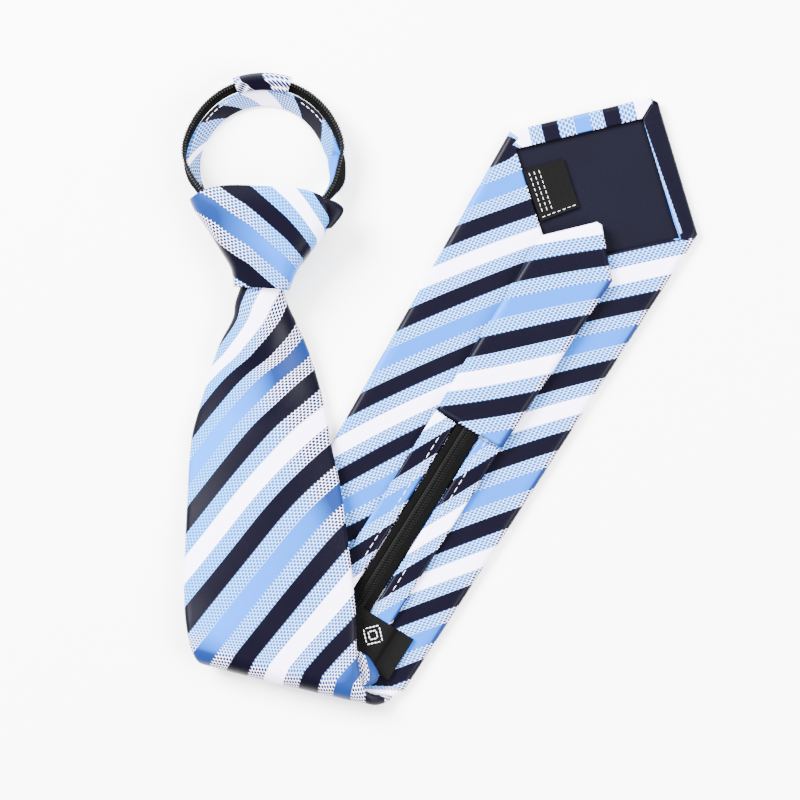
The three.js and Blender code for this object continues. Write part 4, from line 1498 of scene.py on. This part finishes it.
class TIE_OT_tail(bpy.types.Operator):
    """Makes the two cloth strips of the tail and the zip tapes between them."""

    bl_idname = "tie.tail"
    bl_label = "Tail strips and tapes"

    def execute(self, context):
        crosses, fold = tail_crosses()
        fold_run = crosses[fold].run
        strips = crosses[STRIP_FIRST:-1]
        inner = TAPE_WIDTH / 2 + TAIL_GAP
        length = strips[-1].run - strips[0].run
        for side, low, high, first in (
            ("left", -TAIL_WIDTH / 2, -inner, 0), ("right", inner, TAIL_WIDTH / 2, 1),
        ):
            name = f"tail_strip_{side}"
            stripe = strip_stripes((low + high) / 2, first, fold_run)
            piece = band(f"{name}_cloth", strips, low, high, TAIL_THICK, silk(), stripe, (10, 6))
            finish_piece(piece, [name])
            declare_sheet(piece, (STRIP_CUT, length))
        tape_inner = CHAIN_WIDTH / 2 - 0.1
        material = finish_of("zip_tape", woven_tape, colours().tape)
        for side, low, high in (
            ("left", -TAPE_WIDTH / 2, -tape_inner), ("right", tape_inner, TAPE_WIDTH / 2),
        ):
            name = f"tail_tape_{side}"
            piece = band(f"{name}_weave", crosses, low, high, TAPE_THICK, material, None, (4, 4))
            finish_piece(piece, [name])
        return {"FINISHED"}


class TIE_OT_zip_chain(bpy.types.Operator):
    """Makes the closed zip chain of the tail: two rows of coil loops round a filler cord."""

    bl_idname = "tie.zip_chain"
    bl_label = "Zip chain"

    def execute(self, context):
        crosses, _ = tail_crosses()
        pitch = sizes().coil_pitch / MM
        spots = spots_along([(c.centre, c.across, c.up) for c in crosses], pitch / 2)
        material = finish_of("zip_coil", smooth_plastic, colours().tape, 0.45, 0.05)
        piece = closed_chain(
            "zip_chain_coils", spots, CHAIN_WIDTH, CHAIN_THICK, pitch, material)
        finish_piece(piece, ["zip_chain"])
        half = CORD_WIDTH / 2
        cord = band("zip_chain_cord", crosses, -half, half, CORD_THICK, material, None, (4, 4))
        finish_piece(cord, [])
        return {"FINISHED"}


class TIE_OT_tab(bpy.types.Operator):
    """Makes the pull tab, the narrow pointed end of the tie."""

    bl_idname = "tie.tab"
    bl_label = "Pull tab"

    def execute(self, context):
        crosses = []
        for step in range(TAB_TIP_STEPS):
            share = mix(TAB_TIP_END, 0.0, step / TAB_TIP_STEPS)
            cross = Cross(
                TAB_SHOULDER_LEFT.lerp(TAB_POINT, share),
                TAB_SHOULDER_RIGHT.lerp(TAB_POINT, share), 0, UP.copy())
            cross.narrow = 1 - share
            crosses.append(cross)
        for step in range(TAB_STEPS + 1):
            share = step / TAB_STEPS
            crosses.append(Cross(
                TAB_SHOULDER_LEFT.lerp(TAB_MOUTH_LEFT, share),
                TAB_SHOULDER_RIGHT.lerp(TAB_MOUTH_RIGHT, share), 0, UP.copy()))
        settle(crosses, TAB_THICK)
        for cross in crosses:
            cross.flap = cross.length / 2 - min(TAB_SEAM_HALF, cross.length * 0.1)

        def stripe(cross, place, point):
            run = AXIS_X * point.x + AXIS_Y * point.y
            extra = max(0.0, abs(place) - 1) * TAB_UNDER_STRIPES
            left, right = reading(TAB_LEFT_STRIPES, run), reading(TAB_RIGHT_STRIPES, run)
            across = max(-1, min(1, place)) * cross.narrow
            return mix(left, right, (across + 1) / 2) + extra

        piece = folded_cloth(
            "tail_tab_cloth", crosses, TAB_THICK, 1.0, silk(), (10, 8, 8), stripe)
        finish_piece(piece, ["tail_tab"])
        declare_sheet(piece)
        return {"FINISHED"}


class TIE_OT_neck_loop(bpy.types.Operator):
    """Makes the neck strip, its zip tapes, the open coils and the cloth keeper."""

    bl_idname = "tie.neck_loop"
    bl_label = "Neck loop"

    def execute(self, context):
        rows = smooth_rows(LOOP_ROWS, LOOP_STEPS)
        black = finish_of("zip_tape", woven_tape, colours().tape)
        nylon = finish_of("open_coil", smooth_plastic, (0.003, 0.003, 0.003), 0.35, 0.16)
        cloth_rows = loop_part(rows, *CLOTH_ENDS)
        # The shade of -0.55 paints the neck strip about half lit, though it tilts away from
        # LIGHT_WAY.
        strip = loop_band(
            "neck_strip_cloth", cloth_rows, 0, 1, lambda size: (0, size - 0.3),
            LOOP_CLOTH_THICK, neck_silk(), (12, 6), loop_stripe, -0.55)
        finish_piece(strip, ["neck_strip"])
        declare_sheet(strip)
        pitch = sizes().coil_pitch / MM
        halves = (
            ("left", 90 + BACK_GAP_ANGLE, LOOP_ROWS[-1][0]),
            ("right", LOOP_ROWS[0][0], 90 - BACK_GAP_ANGLE),
        )
        for side, start, end in halves:
            part = loop_part(rows, start, end)
            tape = loop_band(
                f"neck_tape_{side}_weave", part, 1, 2,
                lambda size: (0.3, size - 0.35), LOOP_TAPE_THICK, black, (6, 4))
            finish_piece(tape, [f"neck_tape_{side}"])
            cuts = []
            for row in part:
                edges = loop_edges(row)
                direction = (edges[2] - edges[1]).normalized()
                centre = edges[2] - direction * COIL_WIDTH / 2
                cuts.append((centre, direction, direction.cross(edges[3]).normalized()))
            coil = open_coil(
                f"neck_coil_{side}_loops", spots_along(cuts, pitch), COIL_WIDTH,
                COIL_THICK, pitch, nylon)
            finish_piece(coil, [f"neck_coil_{side}"])
        self.keeper(rows)
        return {"FINISHED"}

    def keeper(self, rows):
        skin = Skin()
        shells = ([], [])
        for step in range(KEEPER_CUTS + 1):
            angle = mix(*KEEPER_ANGLES, step / KEEPER_CUTS)
            edges = loop_edges(loop_row(rows, angle))
            direction = edges[2] - edges[1]
            size = direction.length
            direction.normalize()
            normal = direction.cross(edges[3]).normalized()
            for shell, wall in zip(shells, (KEEPER_WALL, 0.0)):
                room = COIL_THICK / 2 + KEEPER_ROOM + wall
                low = SEAM_ROOM - KEEPER_ROOM - wall
                high = size + KEEPER_ROOM + wall
                ring = []
                around = 0.0
                last = None
                for i in range(KEEPER_POINTS):
                    turn = 2 * math.pi * (i + 0.5) / KEEPER_POINTS - math.pi / 2
                    cosine, sine = math.cos(turn), math.sin(turn)
                    x = math.copysign(abs(cosine) ** 0.35, cosine) * (high - low) / 2
                    y = math.copysign(abs(sine) ** 0.6, sine) * room
                    point = edges[1] + direction * (x + (low + high) / 2) + normal * y
                    around += (point - (last or point)).length
                    last = point
                    value = reading(KEEPER_STRIPES, angle - (x / (high - low)) * 10.0)
                    run = math.radians(angle) * LOOP_RADIUS
                    bar = 0.46 * run + 0.89 * around
                    # Painted shade of 0.35 over the whole keeper.
                    ring.append(skin.add(point, value, run, x, bar, 0.35))
                shell.append(ring)
        skin.tube(*shells)
        piece = skin.piece("neck_keeper_cloth", silk())
        finish_piece(piece, ["neck_keeper"])
        declare_sheet(piece)


class TIE_OT_stitches(bpy.types.Operator):
    """Sews the running stitches beside the zip, on the neck strip and on the label."""

    bl_idname = "tie.stitches"
    bl_label = "Stitches"

    def execute(self, context):
        long = sizes().stitch_long / MM
        gap = sizes().stitch_gap / MM
        crosses, fold = tail_crosses()
        for side, way in (("left", -1), ("right", 1)):
            path = [
                (cross.place(way * TAIL_SEAM, -TAIL_SEAM_HEIGHT), -cross.up)
                for cross in crosses[fold:-1]
            ]
            self.sew_on(f"tail_stitches_{side}", [path], long, gap)
        rows = smooth_rows(LOOP_ROWS, LOOP_STEPS)
        for side, start, end in (("left", 122, 150), ("right", 30, 58)):
            self.sew_on(f"neck_stitches_{side}", [self.neck_row(rows, start, end)], 1.6, 0.7)
        self.sew_on("care_label_stitches", self.care_rows(), 1.2, 0.8, 0.10)
        self.sew_on("keeper_label_diamonds", self.keeper_squares(), 1.1, 0.22, 0.22)
        return {"FINISHED"}

    def sew_on(self, name, paths, length, gap, radius=STITCH_RADIUS):
        white = finish_of("white_thread", thread, colours().thread)
        finish_piece(stitches(name, paths, length, gap, radius, white), [])

    def neck_row(self, rows, start, end):
        """Row beside the seam of the neck strip, on its upper face."""
        path = []
        for row in loop_part(rows, start, end):
            edges = loop_edges(row)
            direction = (edges[1] - edges[0]).normalized()
            normal = edges[3].cross(direction).normalized()
            normal = -normal if normal.z < 0 else normal
            path.append((edges[1] - direction * 1.1 + normal * 0.8, normal))
        return path

    def care_rows(self):
        """One row along the lower end of the care label and three rows across its face."""
        first, second, third, fourth = CARE_CORNERS
        lines = [(third.lerp(fourth, 0.06), second.lerp(first, 0.06), 0.05, 0.95)]
        for share in (0.12, 0.24, 0.36):
            lines.append((fourth.lerp(first, share), third.lerp(second, share), 0.06, 0.86))
        lift = UP * (CARE_BOTTOM + LABEL_THICK)
        return [
            [(start.lerp(end, mix(low, high, i / 8)) + lift, UP) for i in range(9)]
            for start, end, low, high in lines
        ]

    def keeper_squares(self):
        """Two squares, one in the other, at the right end of the keeper label."""
        across, along = keeper_label_ways()
        middle = KEEPER_LABEL_CENTRE + across * 9.5 + along * 2.4 + UP * 7.5
        paths = []
        for size in (4.2, 2.1):
            corners = [across * size, along * size, -across * size, -along * size]
            for corner, following in zip(corners, corners[1:] + corners[:1]):
                paths.append([(middle + corner.lerp(following, i / 4), UP) for i in range(5)])
        return paths


class TIE_OT_knot(bpy.types.Operator):
    """Makes the knot: the striped outer wrap, the dark core and its turned-out corner."""

    bl_idname = "tie.knot"
    bl_label = "Knot"

    def execute(self, context):
        rows = smooth_rows(KNOT_ROWS, KNOT_STEPS)
        self.wrap(rows)
        self.core(rows[CORE_FIRST:])
        corner = lobe("knot_corner_cloth", KNOT_CORNER, 1.4, silk(), 0.0)
        finish_piece(corner, [])
        declare_sheet(corner)
        return {"FINISHED"}

    def wrap(self, rows):
        skin = Skin()
        rings = []
        for row in rows:
            angles = [
                mix(row[7], row[8], step / (KNOT_POINTS - 1)) for step in range(KNOT_POINTS)
            ]
            ring = [knot_mark(skin, knot_point(row, 0.0, angle), row) for angle in angles]
            for angle in reversed(angles):
                ring.append(knot_mark(skin, knot_point(row, WRAP_WALL, angle), row))
            rings.append(ring)
        skin.join_all(rings)
        skin.close_layers(rings[0], KNOT_POINTS, True)
        skin.close_layers(rings[-1], KNOT_POINTS, False)
        piece = skin.piece("knot_wrap_cloth", silk())
        finish_piece(piece, ["knot_wrap"])
        declare_sheet(piece)

    def core(self, rows):
        skin = Skin()
        shells = ([], [])
        inset = WRAP_WALL + CORE_ROOM
        for row in rows:
            for shell, deep in zip(shells, (inset, inset + CORE_WALL)):
                ring = []
                for step in range(KNOT_POINTS):
                    point = knot_point(row, deep, 360 * step / KNOT_POINTS)
                    ring.append(skin.add(point, 0.0, -point.y, point.x))
                shell.append(ring)
        skin.tube(*shells)
        piece = skin.piece("knot_core_cloth", silk())
        finish_piece(piece, ["knot_core"])
        declare_sheet(piece)


class TIE_OT_slider(bpy.types.Operator):
    """Gives the hidden zip slider its finish."""

    bl_idname = "tie.slider"
    bl_label = "Slider"

    def execute(self, context):
        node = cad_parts["zip_slider"]
        node.data.materials.clear()
        node.data.materials.append(
            finish_of("slider_black", smooth_plastic, colours().tape, 0.4, 0.1))
        return {"FINISHED"}


class TIE_OT_stage(bpy.types.Operator):
    """Sets the table, the lights and the camera straight above."""

    bl_idname = "tie.stage"
    bl_label = "Stage"

    def execute(self, context):
        stage = context.scene.tie_stage
        mesh = bpy.data.meshes.new("table_top")
        half = TABLE_HALF
        corners = [(-half, -half, 0), (half, -half, 0), (half, half, 0), (-half, half, 0)]
        mesh.from_pydata(corners, [], [(0, 1, 2, 3)])
        mesh.materials.append(finish_of("table_matt", plain_floor, stage.floor))
        table = bpy.data.objects.new("table_top", mesh)
        context.scene.collection.objects.link(table)
        self.lamp("key_light", (-1.3, 1.0, 1.5), 1.2, stage.key_power)
        self.lamp("fill_light", (1.4, -0.5, 1.6), 1.4, stage.fill_power)
        self.lamp("back_light", (0.4, 1.3, 1.9), 1.4, stage.fill_power * BACK_LIGHT_SHARE)
        world = bpy.data.worlds.new("studio")
        world.use_nodes = True
        background = world.node_tree.nodes["Background"]
        background.inputs["Color"].default_value = (0.95, 0.97, 1.0, 1.0)
        background.inputs["Strength"].default_value = stage.room_light
        context.scene.world = world
        data = bpy.data.cameras.new("camera")
        data.sensor_width = SENSOR_WIDTH
        data.lens = SENSOR_WIDTH * stage.camera_height / PICTURE_WIDTH
        camera = bpy.data.objects.new("camera", data)
        context.scene.collection.objects.link(camera)
        camera.location = (*CAMERA_PLACE, stage.camera_height)
        context.scene.camera = camera
        return {"FINISHED"}

    def lamp(self, name, place, size, power):
        data = bpy.data.lights.new(name, "AREA")
        data.shape = "DISK"
        data.size = size
        data.energy = power
        lamp = bpy.data.objects.new(name, data)
        lamp.location = place
        lamp.visible_camera = False
        lamp.rotation_euler = (-Vector(place)).to_track_quat("-Z", "Y").to_euler()
        bpy.context.scene.collection.objects.link(lamp)


STEPS = (
    TIE_OT_stage, TIE_OT_blade, TIE_OT_lining, TIE_OT_labels, TIE_OT_tail,
    TIE_OT_zip_chain, TIE_OT_tab, TIE_OT_neck_loop, TIE_OT_stitches, TIE_OT_knot,
    TIE_OT_slider,
)


class TIE_PT_panel(bpy.types.Panel):
    """Settings and pieces of the tie."""

    bl_idname = "TIE_PT_panel"
    bl_label = "Zipper Tie"
    bl_space_type = "VIEW_3D"
    bl_region_type = "UI"
    bl_category = "Zipper Tie"

    def draw(self, context):
        scene = context.scene
        for group in (scene.tie_colours, scene.tie_sizes, scene.tie_stage):
            box = self.layout.box()
            for name in group.__annotations__:
                box.prop(group, name)
        for step in STEPS:
            self.layout.operator(step.bl_idname)


CLASSES = (TieColours, TieSizes, TieStage) + STEPS + (TIE_PT_panel,)


def register():
    for cls in CLASSES:
        bpy.utils.register_class(cls)
    bpy.types.Scene.tie_colours = bpy.props.PointerProperty(type=TieColours)
    bpy.types.Scene.tie_sizes = bpy.props.PointerProperty(type=TieSizes)
    bpy.types.Scene.tie_stage = bpy.props.PointerProperty(type=TieStage)


def unregister():
    del bpy.types.Scene.tie_stage
    del bpy.types.Scene.tie_sizes
    del bpy.types.Scene.tie_colours
    for cls in reversed(CLASSES):
        bpy.utils.unregister_class(cls)


def main():
    register()
    bpy.ops.tie.stage()
    bpy.ops.tie.blade()
    bpy.ops.tie.lining()
    bpy.ops.tie.labels()
    bpy.ops.tie.tail()
    bpy.ops.tie.zip_chain()
    bpy.ops.tie.tab()
    bpy.ops.tie.neck_loop()
    bpy.ops.tie.stitches()
    bpy.ops.tie.knot()
    bpy.ops.tie.slider()


if __name__ == "__main__":
    main()
